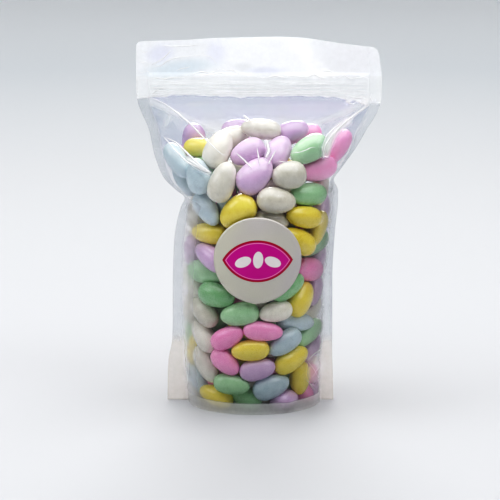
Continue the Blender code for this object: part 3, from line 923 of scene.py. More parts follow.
def filmVeil(points, side):
    # how cloudy the film is, and the tint of the cloud: each place in turn draws both towards its own, by
    # its share. Some places are painted shade, painted glare or painted reflection instead of cloud
    z = rowHeights()[:, None] + 0 * points[..., 0]
    middle, half, depth, flat = (value[:, None] for value in section(rowHeights()))
    across = np.abs(points[..., 0] - middle)
    inFin = 1 - eased(half - across, -0.5, 1.5)
    nearSeam = np.exp(-(np.maximum(half - across, 0) / np.where(points[..., 0] < 0, *film["sideCloudAndShade"])) ** 2)
    veil = np.zeros(points.shape[:2] + (4,)) + tinted(*filmCloudAndPaintedLight["body"])

    def lay(name, share):
        colour, amount, *heights = filmCloudAndPaintedLight[name] if isinstance(name, str) else name
        share = share * eased(z, *heights) if heights else share
        veil[...] += share[..., None] * (tinted(colour, amount) - veil)

    lay("low", 1)
    lay("side", nearSeam * (points[..., 0] < 0))
    lay("sideRight", nearSeam * (points[..., 0] > 0))
    lay("shoulder" if side < 0 else "backShoulder", 1 - eased(flat - across, -14, 2))
    facet = eased(flat - across, -3, 3)
    lay("facet" if side < 0 else "backFacet", facet)
    if side > 0:
        streak = 0.5 + 0.7 * ripples(81, points * np.array([1.0, 0.0, 0.25]), (14, 50), 7)
        lay("backFacetBlue", facet * np.clip(streak, 0, 1))
    lay("fin", inFin)
    lay("flap", inFin)
    lay("footSeal", 1 - inFin)
    lay("footEdge", 1 - inFin)
    edgeZ = through(film["zipEdge"], points[..., 0]) + 0.4 * ripples(82, points[..., :1], (9, 30), 6)
    lay("header" if side < 0 else "backHeader", eased(z - edgeZ, -0.5, 0.3))
    lay("zipCover" if side < 0 else "backHeader", eased(z - edgeZ, 0.6, 1.2) * (1 - eased(z, 240.5, 242.0)))
    uneven = 0.75 + 0.5 * ripples(83, points[..., :1], (7, 22), 6)
    lay("zipLine", np.exp(-((z - edgeZ) / 0.55) ** 2) * uneven)
    worn = 0.6 + 0.6 * ripples(84, points * np.array([1.0, 0.0, 3.0]), (8, 40), 8)
    unsealed = 1 - eased(np.abs(points[..., 0]), 74, 80)
    # whiter cloud along the ribs' lines, and painted shade along the grooves between them
    for name in ("zipLines", "zipGrooves"):
        for i, at in enumerate(film[name]):
            wander = at + 0.35 * ripples(86 + i, points[..., :1], (30, 90), 4)
            line = np.exp(-((z - wander) / 0.42) ** 2) * unsealed * np.clip(worn, 0, 1)
            lay("zipLine" if name == "zipLines" else "zipGroove", line)
    if side < 0:
        column, row = pixelOf(points)
        for (x, y), (wide, high), turn, colour, amount in cloudGlareAndShadeOvals:
            c, s = math.cos(math.radians(turn)), math.sin(math.radians(turn))
            dx, dy = column - x, y - row
            far = np.hypot((dx * c + dy * s) / wide, (dy * c - dx * s) / high)
            lay((colour, amount), 1 - eased(far, 0.35, 1.5))
        for path, wide, colour, amount in cloudAndGlareBands:
            lay((colour, amount), np.exp(-(fromPath(column, row, path) / wide) ** 2))
    return veil


# Hazy and tinted places of the front film, soft ovals at pixels of the photograph: middle, half sizes,
# turn in degrees, tint and amount. The large white ones on the header and the small white ones near the
# strip's right end are painted glare and glints, the lavender and pale blue ones on the header are painted
# reflections, and the grey one along the right seam is painted shade
cloudGlareAndShadeOvals = (
    ((262, 54), (58, 18), 0, "#fdfeff", 0.74),
    ((350, 60), (32, 20), 0, "#f6f6f9", 0.66),
    ((160, 54), (13, 9), 12, "#e6e8f8", 0.66),
    ((180, 68), (34, 8), 8, "#d9e6ee", 0.70),
    ((216, 52), (9, 11), 0, "#eceefa", 0.72),
    ((243, 67), (9, 4), 0, "#e9ebee", 0.70),
    ((266, 71), (18, 4), 0, "#e2e5f3", 0.70),
    ((167, 122), (4, 10), -20, "#e8eef4", 0.30),
    ((314, 370), (9, 17), -8, "#ece6e4", 0.42),
    ((196, 165.5), (11, 4.5), -36, "#f4fbfc", 0.5),
    ((185, 300), (3, 60), 0, "#f0f0f2", 0.55),
    ((333, 275), (5, 66), 0, "#a2a6ac", 0.42),
    ((348.5, 101.5), (4, 2), 20, "#ffffff", 0.97),
    ((364.5, 102), (3, 3), -40, "#ffffff", 0.97),
    ((357, 96), (9, 1.2), -4, "#ffffff", 0.9),
    ((328, 72), (9, 2.5), -20, "#ffffff", 0.9),
)
# and soft bands along pixels: path, half width, tint and amount; the white ones are painted glare along folds
cloudAndGlareBands = (
    (((188, 158), (198, 166), (209, 173)), 2.6, "#ffffff", 0.85),
    (((374, 106), (364, 121), (354, 135)), 5.0, "#e6eaf2", 0.25),
    (((368, 105), (357, 113), (347, 121)), 1.6, "#ffffff", 0.8),
    (((348, 121), (339, 128), (331, 137), (326, 147)), 4.6, "#ffffff", 0.88),
    (((334, 135), (330, 147), (328, 156)), 2.0, "#ffffff", 0.7),
    (((326, 146), (324, 156)), 2.4, "#ffffff", 0.8),
    (((266, 141), (269, 150), (267, 157)), 2.2, "#ffffff", 0.5),
    (((297, 46), (305, 57), (313, 68), (323, 76)), 8.0, "#ffffff", 0.9),
)


def fromPath(column, row, path):
    # pixels from each point to the nearest place of a path of straight pieces
    best = np.full(column.shape, 1e6)
    for (x0, y0), (x1, y1) in zip(path[:-1], path[1:]):
        along = ((column - x0) * (x1 - x0) + (row - y0) * (y1 - y0)) / ((x1 - x0) ** 2 + (y1 - y0) ** 2)
        along = np.clip(along, 0, 1)
        best = np.minimum(best, np.hypot(column - x0 - along * (x1 - x0), row - y0 - along * (y1 - y0)))
    return best


# Each place of the film: the tint of its cloud, how much of it is cloud instead of clear film, and for some
# the heights where it starts and where it is full. Some of them are painted shade or painted reflection, as
# noted
filmCloudAndPaintedLight = {
    "body": ("#e6e8ee", 0.005),
    # painted shade: a grey cloud that darkens the lower film, fullest at the bottom
    "low": ("#929496", 0.12, 110, 20),
    "side": ("#e8e8ec", 0.52, 175, 150),
    # painted shade: a dark grey cloud over the right side of the body
    "sideRight": ("#6f6d73", 0.44, 175, 150),
    "shoulder": ("#aab5c8", 0.09, 150, 180),
    "backShoulder": ("#a8b3c6", 0.46, 150, 180),
    # the facets' lavender tints are painted reflections of the lilac almonds
    "facet": ("#c6c6ea", 0.08, 188, 214),
    "backFacet": ("#a6a2d2", 0.29, 188, 214),
    "backFacetBlue": ("#a2abd0", 0.29, 188, 214),
    "fin": ("#b6bbc0", 0.3),
    "flap": ("#d9d1c7", 0.37, 52, 42),
    "footSeal": ("#f4f4f2", 0.7, 9.0, 7.5),
    "footEdge": ("#f4f4f2", 0.82, 2.4, 0.8),
    "header": ("#f8fafc", 0.66),
    "backHeader": ("#fbfcff", 0.55),
    "zipCover": ("#fffffd", 0.52),
    "zipLine": ("#ffffff", 0.95),
    # painted shade along the grooves between the strip's ribs
    "zipGroove": ("#dde1e4", 0.6),
    "base": ("#c9cacb", 0.25),    # the folded base panel
    "strip": ("#fafcfd", 0.05),   # the press-to-close strip between its ribs
}


def filmFinish(name, gloss, crinkle, mirrorIor, clear=0.975):
    # Polyethylene film laminate, cast and rolled: crystal clear, glossy on both faces, cloudy where it is
    # welded, creased or handled, with painted glare, glints, shade and reflection in its cloud in places. Its
    # IOR is matched to the photograph, and crinkle is in metres.
    material, tree = newMaterial(name)
    place = add(tree, "TexCoord").outputs["Object"]
    veil = add(tree, "Attribute", {"attribute_name": "veil"})
    # slow waves about 11 mm long, and scuffs about 4 mm apart
    rumple = add(tree, "TexNoise", {"Scale": 1000 / 11.0, "Detail": 2.0, "Vector": place})
    scuff = add(tree, "TexNoise", {"Scale": 1000 / 4.0, "Detail": 5.0, "Roughness": 0.65, "Vector": place})
    uneven = add(tree, "MapRange", {**mostNoise, "To Min": 0.94, "To Max": 1.06,
                                    "Value": scuff.outputs["Fac"]})
    amount = add(tree, "Math", {"operation": "MULTIPLY", "use_clamp": True, 0: veil.outputs["Alpha"],
                                1: uneven.outputs["Result"]})
    relief = add(tree, "Bump", {"Strength": 1.0, "Distance": crinkle, "Height": rumple.outputs["Fac"]})
    roughness = add(tree, "MapRange", {**mostNoise, "To Min": gloss, "To Max": gloss * 1.7,
                                       "Value": scuff.outputs["Fac"]})
    passes = add(tree, "BsdfTransparent", {"Color": (clear, clear + 0.003, min(clear + 0.01, 1.0), 1.0)})
    front = add(tree, "BsdfDiffuse", {"Color": veil.outputs["Color"]})
    behind = add(tree, "BsdfTranslucent", {"Color": veil.outputs["Color"]})
    cloud = add(tree, "MixShader", {0: 0.4, 1: front.outputs[0], 2: behind.outputs[0]})
    sheet = add(tree, "MixShader", {0: amount.outputs[0], 1: passes.outputs[0], 2: cloud.outputs[0]})
    mirror = add(tree, "BsdfGlossy", {"Color": (1, 1, 1, 1), "Roughness": roughness.outputs["Result"],
                                      "Normal": relief.outputs["Normal"]})
    edgeOn = add(tree, "Fresnel", {"IOR": mirrorIor, "Normal": relief.outputs["Normal"]})
    inner = add(tree, "NewGeometry").outputs["Backfacing"]
    most = add(tree, "MapRange", {"To Min": 0.45, "To Max": 0.03, "Value": inner})  # less from within
    held = add(tree, "Math", {"operation": "MINIMUM", 0: edgeOn.outputs[0], 1: most.outputs[0]})
    surface = add(tree, "MixShader", {0: held.outputs[0], 1: sheet.outputs[0], 2: mirror.outputs[0]})
    add(tree, "OutputMaterial", {"Surface": surface.outputs[0]})
    return material


def basePanel():
    # rings from the bottom outline to its middle, which rises a little inside the rim
    ring = np.concatenate([frontPoints[0], backPoints[0, ::-1]])
    share = (np.linspace(1, 0, film["baseRings"]) ** 0.8)[:, None, None]
    centre = np.array([section(np.array([0.0]))[0][0], 0.0, 0.0])
    points = centre + (ring[None] - centre) * share
    points[..., 2] = 0.9 * eased(1 - share[..., 0], 0.0, 0.06)
    return points


def makeFilm():
    base = basePanel()
    rows, columns = frontPoints.shape[:2]
    points = np.concatenate([frontPoints.reshape(-1, 3), backPoints.reshape(-1, 3), base.reshape(-1, 3)])
    quads = np.concatenate([
        gridFaces(rows, columns),
        gridFaces(rows, columns, rows * columns, flip=True),
        gridFaces(base.shape[0], base.shape[1], 2 * rows * columns, flip=True),
    ])
    frontVeil, backVeil = filmVeil(frontPoints, -1), filmVeil(backPoints, 1)
    backVeil[-1], backVeil[:, 0], backVeil[:, -1] = frontVeil[-1], frontVeil[:, 0], frontVeil[:, -1]
    baseVeil = np.tile(tinted(*filmCloudAndPaintedLight["base"]), base.shape[:2] + (1,))
    baseVeil[0] = np.concatenate([frontVeil[0], backVeil[0, ::-1]])  # one value for each point of a weld
    veil = np.concatenate([frontVeil.reshape(-1, 4), backVeil.reshape(-1, 4), baseVeil.reshape(-1, 4)])
    finish = filmFinish("clear_laminate_film", gloss=0.07, crinkle=0.00035, mirrorIor=1.28)
    piece = makePiece("film_bag", points, quads, finish, "film", veil=veil)
    piece.data.set_sharp_from_angle(angle=math.radians(60))  # the rim, the top edge and the side edges
    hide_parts("pouch")
    print("film bag made,", len(piece.data.polygons), "faces")


makeFilm()

# The front panel's depth on an even table of x and z, for what lies on it
depthX, depthZ = np.arange(-90.0, 90.5, 1.0), np.arange(0.0, 266.5, 0.5)
depthRows = np.stack([np.interp(depthX, row[:, 0], row[:, 1]) for row in frontPoints])
depthTable = np.stack([np.interp(depthZ, rowHeights(), column) for column in depthRows.T], 1)


def filmDepth(x, z):
    # y of the front film at x and z, between the four nearest places of the table
    i = np.clip((z - depthZ[0]) / (depthZ[1] - depthZ[0]), 0, len(depthZ) - 1.001)
    j = np.clip(x - depthX[0], 0, len(depthX) - 1.001)
    a, b = i.astype(int), j.astype(int)
    s, t = i - a, j - b
    return ((depthTable[a, b] * (1 - t) + depthTable[a, b + 1] * t) * (1 - s)
            + (depthTable[a + 1, b] * (1 - t) + depthTable[a + 1, b + 1] * t) * s)


def onFilm(column, row, proud=0.2):
    # the place on the front film that a pixel of the photograph shows
    eye = cameraFrame()[0]
    way = lineOfSight(column, row)
    y = np.full(way.shape[:-1], -30.0)
    for _ in range(25):
        point = eye + way * ((y - eye[1]) / way[..., 1])[..., None]
        y = 0.5 * y + 0.5 * filmDepth(point[..., 0], point[..., 2])
    return point + np.array([0.0, -proud, 0.0])


# Creases of the front film, each along pixels of the photograph: width in mm, height in mm, cloud amount.
# Their white cloud is partly whitened film and partly painted glints and streaks of glare
creasesAndGlints = {
    "leftRidge": (((150, 97), (165, 104), (179, 114), (191, 124.5), (205, 139), (222, 154.5), (228, 155.5)),
                  1.3, 0.45, 0.75),
    "leftFoldLow": (((163, 136), (175, 150), (187.6, 162.5), (211, 173.4)), 1.4, 0.5, 0.7),
    "leftFoldHigh": (((165, 137), (177, 143), (196.7, 162.5), (211.7, 173.4)), 1.5, 0.5, 0.6),
    "leftFoldFill": (((186, 158), (193, 163), (202, 169), (210, 173)), 3.6, 0.5, 0.5),
    "spokeA": (((236.3, 153.3), (244, 160), (251.8, 168.2)), 1.6, 0.5, 0.65),
    "spokeB": (((257, 147.6), (258.5, 157), (259.9, 165.9)), 1.2, 0.4, 0.65),
    "spokeC": (((266.8, 139.5), (269, 151), (265.6, 158)), 2.6, 0.6, 0.75),
    "heapGlint": (((243, 115), (247, 118.5), (251, 121)), 1.8, 0.5, 0.7),
    "spokeD": (((275.9, 149.8), (272, 157), (267.9, 164.8)), 1.2, 0.4, 0.65),
    "spokeE": (((278.2, 161.3), (284, 162), (289.7, 162.5)), 0.9, 0.3, 0.5),
    "mintCrease": (((290, 153.3), (301, 152), (312.7, 147), (317.3, 148.7)), 0.7, 0.2, 0.5),
    "rightSpokeA": (((325.3, 144), (324.5, 150), (323, 156.7)), 1.2, 0.4, 0.7),
    "rightSpokeB": (((330, 146.4), (328, 151), (326.5, 156.7)), 1.2, 0.4, 0.7),
    "rightBandA": (((368, 105.5), (357, 113), (346, 121.5), (337, 130), (330, 141), (327.5, 156)),
                   1.5, 0.5, 0.8),
    "rightBandB": (((350, 119), (340, 127), (331, 136), (325, 146), (323.5, 157)), 1.6, 0.5, 0.75),
    "rightBandC": (((367, 117.5), (362, 126), (357, 134.5)), 0.9, 0.3, 0.5),
    "rightBandD": (((345, 123), (336, 132), (331, 142), (328.5, 155)), 1.2, 0.4, 0.7),
    "rightBandE": (((343, 121), (333, 129), (326, 137), (323, 146)), 1.3, 0.4, 0.6),
    "rightBandF": (((322, 146), (323, 152), (324.5, 158)), 1.2, 0.4, 0.8),
    "flapLine": (((188, 360), (188.5, 372), (187.5, 384)), 0.8, 0.25, 0.8),
    "lowFoldA": (((307, 361), (314, 354), (322, 348.5)), 0.8, 0.3, 0.6),
    "lowFoldB": (((308, 362), (314, 369), (318.5, 378)), 0.7, 0.3, 0.6),
    "lowFoldC": (((312, 378), (316, 371), (321, 365)), 0.6, 0.25, 0.55),
    "lowFoldD": (((306, 379), (311, 385), (317, 392)), 0.7, 0.25, 0.55),
    "lowFoldE": (((321, 318), (322, 331), (318.5, 346)), 0.6, 0.2, 0.45),
    "headFoldA": (((151, 65), (157, 62.2), (163.8, 57.9), (169.8, 52), (171, 50)), 0.9, 0.4, 0.85),
    "headFoldB": (((154, 66.6), (162.2, 65.2), (166.4, 61.3), (174, 57.9), (180.8, 56.7), (194.3, 55.4)),
                  0.8, 0.35, 0.85),
    "headFoldC": (((194, 55.5), (202.8, 55), (211.2, 57), (214, 60), (216.5, 64.5)), 0.7, 0.3, 0.8),
    "headFoldD": (((160.5, 44.9), (172.3, 46.3), (185.8, 46), (200, 44.6)), 0.9, 0.3, 0.8),
    "headFoldE": (((175.7, 70.6), (180.8, 68.6), (187.5, 67.6), (191.3, 65.9)), 0.5, 0.25, 0.8),
    "headFoldF": (((322.7, 71.5), (329.5, 70.6), (334.5, 74)), 0.8, 0.25, 0.9),
    "zipTopA": (((150, 79), (157, 77.7), (163.8, 79.4), (170.6, 77.4), (180.8, 77.7), (189.2, 75.7)),
                0.9, 0.4, 0.95),
    "zipTopB": (((188, 76), (194.3, 73.7), (201, 71.5), (209.5, 73.2), (216.3, 70.6), (221.4, 68)),
                0.9, 0.4, 0.95),
    "zipTopC": (((197.7, 76.5), (206.2, 75.4), (212.9, 74.3), (219.7, 73.2), (228.2, 73.7), (238, 74.3)),
                0.8, 0.3, 0.95),
    "zipTopD": (((221, 68.5), (226, 71), (231, 69.5), (236, 72), (243, 74.5), (250, 76)), 0.8, 0.3, 0.95),
    "zipTopE": (((255, 76.5), (265, 78.2), (275, 75.7), (285.5, 77.7), (295.6, 74.8)), 0.8, 0.35, 0.95),
    "zipTopF": (((293, 75.5), (305.8, 77.4), (314, 74.3), (322.7, 78.2), (329.5, 76), (338, 79)),
                0.9, 0.4, 0.95),
    "zipTopG": (((336, 78.8), (344.7, 74.8), (349.8, 78.7), (356.5, 78.2), (363.3, 76.5), (370, 79)),
                0.8, 0.35, 0.95),
    "zipEndA": (((345, 98), (348.5, 103), (352.5, 104.5), (356, 102)), 0.9, 0.4, 0.85),
    "zipEndB": (((350, 96.5), (356.5, 98.2), (363, 97), (366.5, 99.5)), 1.0, 0.4, 0.9),
    "zipEndC": (((356.5, 100.7), (363.3, 104), (367.5, 105), (369, 101)), 0.9, 0.4, 0.85),
    "zipEndD": (((371.8, 93), (370, 97), (373.5, 102)), 0.8, 0.3, 0.85),
    "sealFoldA": (((138.5, 60), (142, 63), (146, 61.5), (149, 64)), 0.6, 0.25, 0.8),
    "sealFoldB": (((138, 70), (141.5, 73), (147, 70.5), (150, 73)), 0.6, 0.25, 0.8),
    "sealFoldC": (((140, 50), (144, 53), (148.5, 51)), 0.5, 0.2, 0.7),
    "cornerFoldA": (((149.5, 96), (154, 92.5), (159, 88.5), (165, 87)), 0.8, 0.35, 0.85),
    "cornerFoldB": (((150.5, 97), (158, 95), (166, 94.5)), 0.7, 0.3, 0.85),
}


def creaseStrip(path, width, height):
    # A sharp fold as a closed strip with pointed ends: at each step of the path its section is a low roof,
    # w = width / 2 * sin(pi s)^0.6 wide to each side and h = height * sin(pi s)^0.6 high.
    column, row = np.array(path, float).T
    run = np.concatenate([[0], np.cumsum(np.hypot(np.diff(column), np.diff(row)))])
    count = max(8, int(run[-1] * 1.2))
    s = np.linspace(0, 1, count)
    column = np.interp(s * run[-1], run, column)
    row = np.interp(s * run[-1], run, row)
    for _ in range(3):
        column[1:-1] = (column[:-2] + 2 * column[1:-1] + column[2:]) / 4
        row[1:-1] = (row[:-2] + 2 * row[1:-1] + row[2:]) / 4
    line = onFilm(column, row, 0.12)
    along = np.gradient(line, axis=0)
    along /= np.linalg.norm(along, axis=1)[:, None]
    out = wallAt(line, 0.0)[1]
    out -= (out * along).sum(1)[:, None] * along
    out /= np.linalg.norm(out, axis=1)[:, None]
    beside = np.cross(along, out)
    swell = np.sin(math.pi * s)[:, None] ** 0.6
    ring = ((-0.5, 0.0), (-0.15, 0.55), (0.05, 1.0), (0.2, 0.5), (0.5, 0.0), (0.0, -0.25), (-0.5, 0.0))
    return np.stack([line + beside * width * a * swell + out * height * b * swell for a, b in ring], 1)


def makeCreases():
    # all of them are one piece, as white as its amounts of cloud make it: partly whitened film, partly
    # painted glints
    strips, veil = [], []
    for path, width, height, amount in creasesAndGlints.values():
        strips.append(creaseStrip(path, width, height))
        veil.append(np.tile(tinted("#ffffff", amount), (strips[-1].size // 3, 1)))
    finish = filmFinish("creased_film_and_glints", gloss=0.12, crinkle=0.0001, mirrorIor=2.1)
    makePiece("film_creases", *joined(strips), finish, "film", veil=np.concatenate(veil))
    print("creases made,", len(strips))


makeCreases()

# The press-to-close strip: two flanges of clear polyethylene, extruded, with a hook and ribs along them
zipStrip = {
    "half": 88.4,
    "low": 225.8,
    "high": 240.2,
    "web": 0.32,           # thickness of a flange
    "inside": 0.05,        # how far its inner face stands from the middle plane
    "outside": 0.98,       # and its outer face at most
    "ribs": ((227.2, 0.3), (229.3, 0.3), (231.6, 0.55), (234.0, 0.7), (236.2, 0.35), (238.4, 0.3)),
    "steps": 150,
}


def makeZip():
    # Each flange is one profile carried along x: straight on the inside, ribbed on the outside, and wavy
    # along its lower edge.
    z = np.linspace(zipStrip["low"], zipStrip["high"], 60)
    bulge = sum(height * np.exp(-((z - at) / 0.42) ** 2) for at, height in zipStrip["ribs"])
    x = np.linspace(-zipStrip["half"], zipStrip["half"], zipStrip["steps"])[:, None]
    crushed = 1 - eased(np.abs(x), 76, 81)
    flanges = []
    for side in (-1, 1):
        web = zipStrip["inside"] + zipStrip["web"] * np.maximum(crushed, 0.3)
        outer = side * np.minimum(web + bulge[None, :] * crushed, zipStrip["outside"])
        inner = np.full_like(outer, side * zipStrip["inside"])
        height = z[None, :] + 0 * x
        wave = 0.5 * ripples(61 + side, x, (9, 40), 6) * crushed[:, 0]
        height = height + wave[:, None] * (1 - eased(z, 226, 229))[None, :]
        outside, inside = (np.stack([x + 0 * height, face, height], -1) for face in (outer, inner))
        loop = np.concatenate([outside, inside[:, ::-1], outside[:, :1]], 1)
        seal = sealRelief(loop[..., 0], loop[..., 2], loop[..., 2])
        loop[..., 1] = loop[..., 1] * (0.35 + 0.65 * crushed[:, :1]) + seal
        middle = loop[:, :-1].mean(1, keepdims=True) + 0 * loop
        flanges.append(np.concatenate([middle[:1], loop, middle[-1:]], 0))  # closes the two ends
    points, quads = joined(flanges)
    veil = np.tile(tinted(*filmCloudAndPaintedLight["strip"]), (len(points), 1))
    thick = sum(height * np.exp(-((points[:, 2] - at) / 0.4) ** 2) for at, height in zipStrip["ribs"])
    worn = eased(ripples(85, points * np.array([1.0, 0.0, 3.0]), (10, 50), 8), -0.8, 0.3)
    veil[:, 3] += 1.1 * thick * worn
    finish = filmFinish("extruded_zip_strip", gloss=0.16, crinkle=0.0001, mirrorIor=1.36, clear=0.994)
    piece = makePiece("zip_strips", points, quads, finish, "zip_strip", veil=veil)
    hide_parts("zip_strip")
    print("zip strips made,", len(piece.data.polygons), "faces")


makeZip()

# The label's print: a pointed oval with a double border, and three almonds on it
labelPrint = {
    "paper": ("#d6d1c5", "#c2bdb3"),
    "sheen": ("#d5d4c5", "#c7c1c9"),
    "plaque": "#d20a98",
    "border": "#b20a3c",
    "line": "#f09ac6",
    "almond": "#f2ebea",
    "halfLength": 25.5,
    "halfHeight": 15.5,
    "borderWidth": 1.5,
    "lineFrom": 1.9,      # where a thin line inside the border starts, from the oval's edge
    "lineTo": 2.45,
    "soft": 0.12,         # mm over which one ink gives way to the next
    "almonds": ((-10.5, -0.6, 24.0), (0.4, 1.2, 86.0), (11.0, -0.6, -24.0)),  # x, y and turn in degrees
    "almondHalf": (6.2, 3.7),
}


def labelFinish():
    # Pearl label paper, coated and offset printed: a satin off-white with a metal-like grey in its shade that
    # drifts from cream to lilac, and flat, even, slightly glossy inks
    material, tree = newMaterial("pearl_label_paper")
    place = add(tree, "UVMap", {"uv_map": "print"}).outputs["UV"]
    spot = add(tree, "TexCoord").outputs["Object"]
    halfLong, halfHigh, soft = labelPrint["halfLength"], labelPrint["halfHeight"], labelPrint["soft"]
    arc = (halfLong**2 + halfHigh**2) / (2 * halfHigh)  # the radius of the two arcs that bound the oval
    low, high = (add(tree, "VectorMath", {"operation": "DISTANCE", 0: place, 1: (0.0, centre, 0.0)})
                 for centre in (arc - halfHigh, halfHigh - arc))
    far = add(tree, "Math", {"operation": "MAXIMUM", 0: low.outputs["Value"], 1: high.outputs["Value"]})
    out = add(tree, "Math", {"operation": "SUBTRACT", 0: far.outputs[0], 1: arc})  # mm outside the oval

    # the paper's grain, 0.8 mm, and its pearly drift, 34 mm from one shade to the next
    fleck = add(tree, "TexNoise", {"Scale": 1000 / 0.8, "Detail": 3.0, "Vector": spot}).outputs["Fac"]
    pearl = add(tree, "TexNoise", {"Scale": 1000 / 34.0, "Detail": 1.0, "Vector": spot}).outputs["Fac"]
    drift = add(tree, "MapRange", {"From Min": 0.35, "From Max": 0.65, "Value": pearl}).outputs["Result"]
    paper, sheen = (add(tree, "Mix", {"data_type": "RGBA", 0: share, 6: linear(pair[0]), 7: linear(pair[1])})
                    for share, pair in ((fleck, labelPrint["paper"]), (drift, labelPrint["sheen"])))
    shade = add(tree, "Mix", {"data_type": "RGBA", 0: 0.55, 6: paper.outputs[2], 7: sheen.outputs[2]})

    # the inks: a distance, the value under which the ink lies, its soft edge and its colour
    inks = [(out.outputs[0], -labelPrint[edge] if edge else 0.0, soft, colour)
            for edge, colour in ((None, "border"), ("borderWidth", "plaque"), ("lineFrom", "line"),
                                 ("lineTo", "plaque"))]
    halves = labelPrint["almondHalf"]
    for x, y, turn in labelPrint["almonds"]:
        moved = add(tree, "Mapping", {"vector_type": "TEXTURE", "Vector": place, "Location": (x, y, 0.0),
                                      "Rotation": (0.0, 0.0, math.radians(turn)), "Scale": (*halves, 1.0)})
        away = add(tree, "VectorMath", {"operation": "LENGTH", 0: moved.outputs["Vector"]})
        inks.append((away.outputs["Value"], 1.0, soft / 4, "almond"))
    for distance, edge, blur, colour in inks:
        share = add(tree, "MapRange", {"From Min": edge - blur, "From Max": edge + blur, "To Min": 1.0,
                                       "To Max": 0.0, "Value": distance})
        shade = add(tree, "Mix", {"data_type": "RGBA", 0: share.outputs["Result"], 6: shade.outputs[2],
                                  7: linear(labelPrint[colour])})
    relief = add(tree, "Bump", {"Strength": 0.4, "Distance": 0.00004, "Height": fleck})
    gloss = add(tree, "MapRange", {**mostNoise, "To Min": 0.34, "To Max": 0.46, "Value": fleck})
    face = add(tree, "BsdfPrincipled", {"IOR": 1.5, "Metallic": 0.1, "Specular IOR Level": 0.3,
                                        "Base Color": shade.outputs[2], "Roughness": gloss.outputs["Result"],
                                        "Normal": relief.outputs["Normal"]})
    add(tree, "OutputMaterial", {"Surface": face.outputs[0]})
    return material


def makeLabel():
    # a disc in polar rings; its depth is the mean of the film's at nine places round each point, less how far
    # it stands proud
    rings, around = 26, 120
    x, z = polar(labelPaper["radius"] * np.linspace(0, 1, rings), around)
    wide = np.zeros(x.shape)
    for dx, dz in ((0, 0), (3, 0), (-3, 0), (0, 3), (0, -3), (2, 2), (-2, 2), (2, -2), (-2, -2)):
        wide += filmDepth(labelPaper["x"] + x + dx, labelPaper["height"] + z + dz) / 9
    y = wide - labelPaper["proud"]
    points = np.stack([labelPaper["x"] + x, y, labelPaper["height"] + z], -1).reshape(-1, 3)
    printPlace = np.stack([x, z], -1).reshape(-1, 2)
    quads = gridFaces(rings, around + 1, flip=True)
    piece = makePiece("label_disc", points, quads, labelFinish(), "label", uv=printPlace)
    if np.mean([face.normal[1] for face in piece.data.polygons]) > 0:
        piece.data.flip_normals()
    wall = piece.modifiers.new("thickness", "SOLIDIFY")
    wall.thickness = labelPaper["thickness"] * mm
    wall.offset = -1.0
    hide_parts("label")
    print("label made")


makeLabel()

# A plain pale floor, soft lamps and an even sky
studio = {
    # metres from the bag and the paint there: it is paler farther out, where less of the lamps' light falls
    "floor": ((0.0, "#b0b1b4"), (0.8, "#cacccf"), (1.2, "#d4d9de"), (1.6, "#f8fbfe")),
    "floorRadius": 6.0,   # metres
    "sky": ("#d6dae2", 0.08),
    "lamps": (
        # name, place in metres, aimed at, width and height in metres, watts, spread in degrees, colour
        ("topPanel", (0.0, 0.1, 1.15), (0.0, 0.0, 0.12), 1.4, 0.6, 12.6, 180.0, "#ffffff"),
        ("keyPanel", (0.0, -0.5, 1.15), (0.0, 0.0, 0.12), 1.4, 0.5, 6.2, 180.0, "#ffffff"),
        ("leftPanel", (-1.4, -0.3, 0.95), (0.0, 0.0, 0.15), 0.7, 0.7, 6.0, 180.0, "#ffffff"),
        ("rightPanel", (1.1, -0.75, 1.35), (0.0, 0.0, 0.15), 0.7, 0.7, 5.4, 180.0, "#ffffff"),
        ("backPanel", (0.0, 2.6, 1.5), (0.0, 0.0, 0.2), 1.8, 1.0, 13.4, 60.0, "#ffffff"),
        ("frontFill", (0.0, -2.9, 0.75), (0.0, 0.0, 0.2), 0.7, 0.26, 2.6, 180.0, "#f6f8ff"),
    ),
}


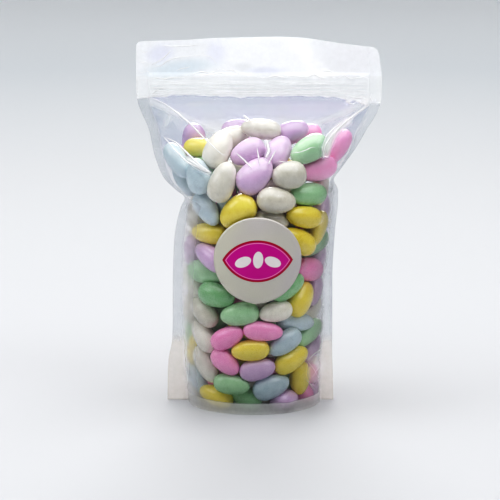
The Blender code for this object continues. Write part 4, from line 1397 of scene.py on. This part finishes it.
def makeFloor():
    # a flat disc in polar rings, which lie closer near the bag
    rings, around = 30, 96
    x, y = polar(studio["floorRadius"] * np.linspace(0, 1, rings) ** 2, around)
    points = np.stack([x, y, 0 * x - 0.0001], -1)  # a tenth of a millimetre under the bag
    mesh = bpy.data.meshes.new("floor")
    mesh.from_pydata(points.reshape(-1, 3).tolist(), [], gridFaces(rings, around + 1).tolist())
    work = bmesh.new()
    work.from_mesh(mesh)
    bmesh.ops.remove_doubles(work, verts=work.verts, dist=1e-6)
    work.to_mesh(mesh)
    work.free()
    material, tree = newMaterial("pale_studio_floor")
    place = add(tree, "TexCoord").outputs["Object"]
    far = add(tree, "VectorMath", {"operation": "LENGTH", 0: place})
    share = add(tree, "MapRange", {"From Min": 0.0, "From Max": studio["floorRadius"],
                                   "Value": far.outputs["Value"]})
    ramp = add(tree, "ValToRGB", {"Fac": share.outputs["Result"]})
    stops = ramp.color_ramp.elements
    for metres, colour in studio["floor"][1:]:
        stops.new(metres / studio["floorRadius"]).color = linear(colour)
    stops[0].color = linear(studio["floor"][0][1])
    stops[-1].color = linear(studio["floor"][-1][1])
    paint = add(tree, "BsdfDiffuse", {"Color": ramp.outputs["Color"]})
    add(tree, "OutputMaterial", {"Surface": paint.outputs[0]})
    mesh.materials.append(material)
    floor = bpy.data.objects.new("floor", mesh)
    bpy.context.scene.collection.objects.link(floor)


def makeLamps():
    # soft rectangular lamps, each turned to shine at its aim, and an even, dim sky
    for name, place, aim, width, height, watts, spread, colour in studio["lamps"]:
        data = bpy.data.lights.new(name, "AREA")
        data.shape, data.size, data.size_y = "RECTANGLE", width, height
        data.energy, data.color = watts, linear(colour)[:3]
        data.spread = math.radians(spread)
        lamp = bpy.data.objects.new(name, data)
        lamp.location = place
        way = np.array(aim) - np.array(place)  # a lamp shines along its own -Z
        flat = math.hypot(way[0], way[1])
        lamp.rotation_euler = (math.atan2(flat, -way[2]), 0.0, math.atan2(-way[0], way[1]))
        bpy.context.scene.collection.objects.link(lamp)
    world = bpy.data.worlds.new("sky")
    world.use_nodes = True
    sky = world.node_tree.nodes["Background"]
    sky.inputs["Color"].default_value = linear(studio["sky"][0])
    sky.inputs["Strength"].default_value = studio["sky"][1]
    bpy.context.scene.world = world


makeFloor()
makeLamps()
bpy.context.scene.cycles.transparent_max_bounces = 32  # enough for sight through every film and crease
print("floor and lamps set")
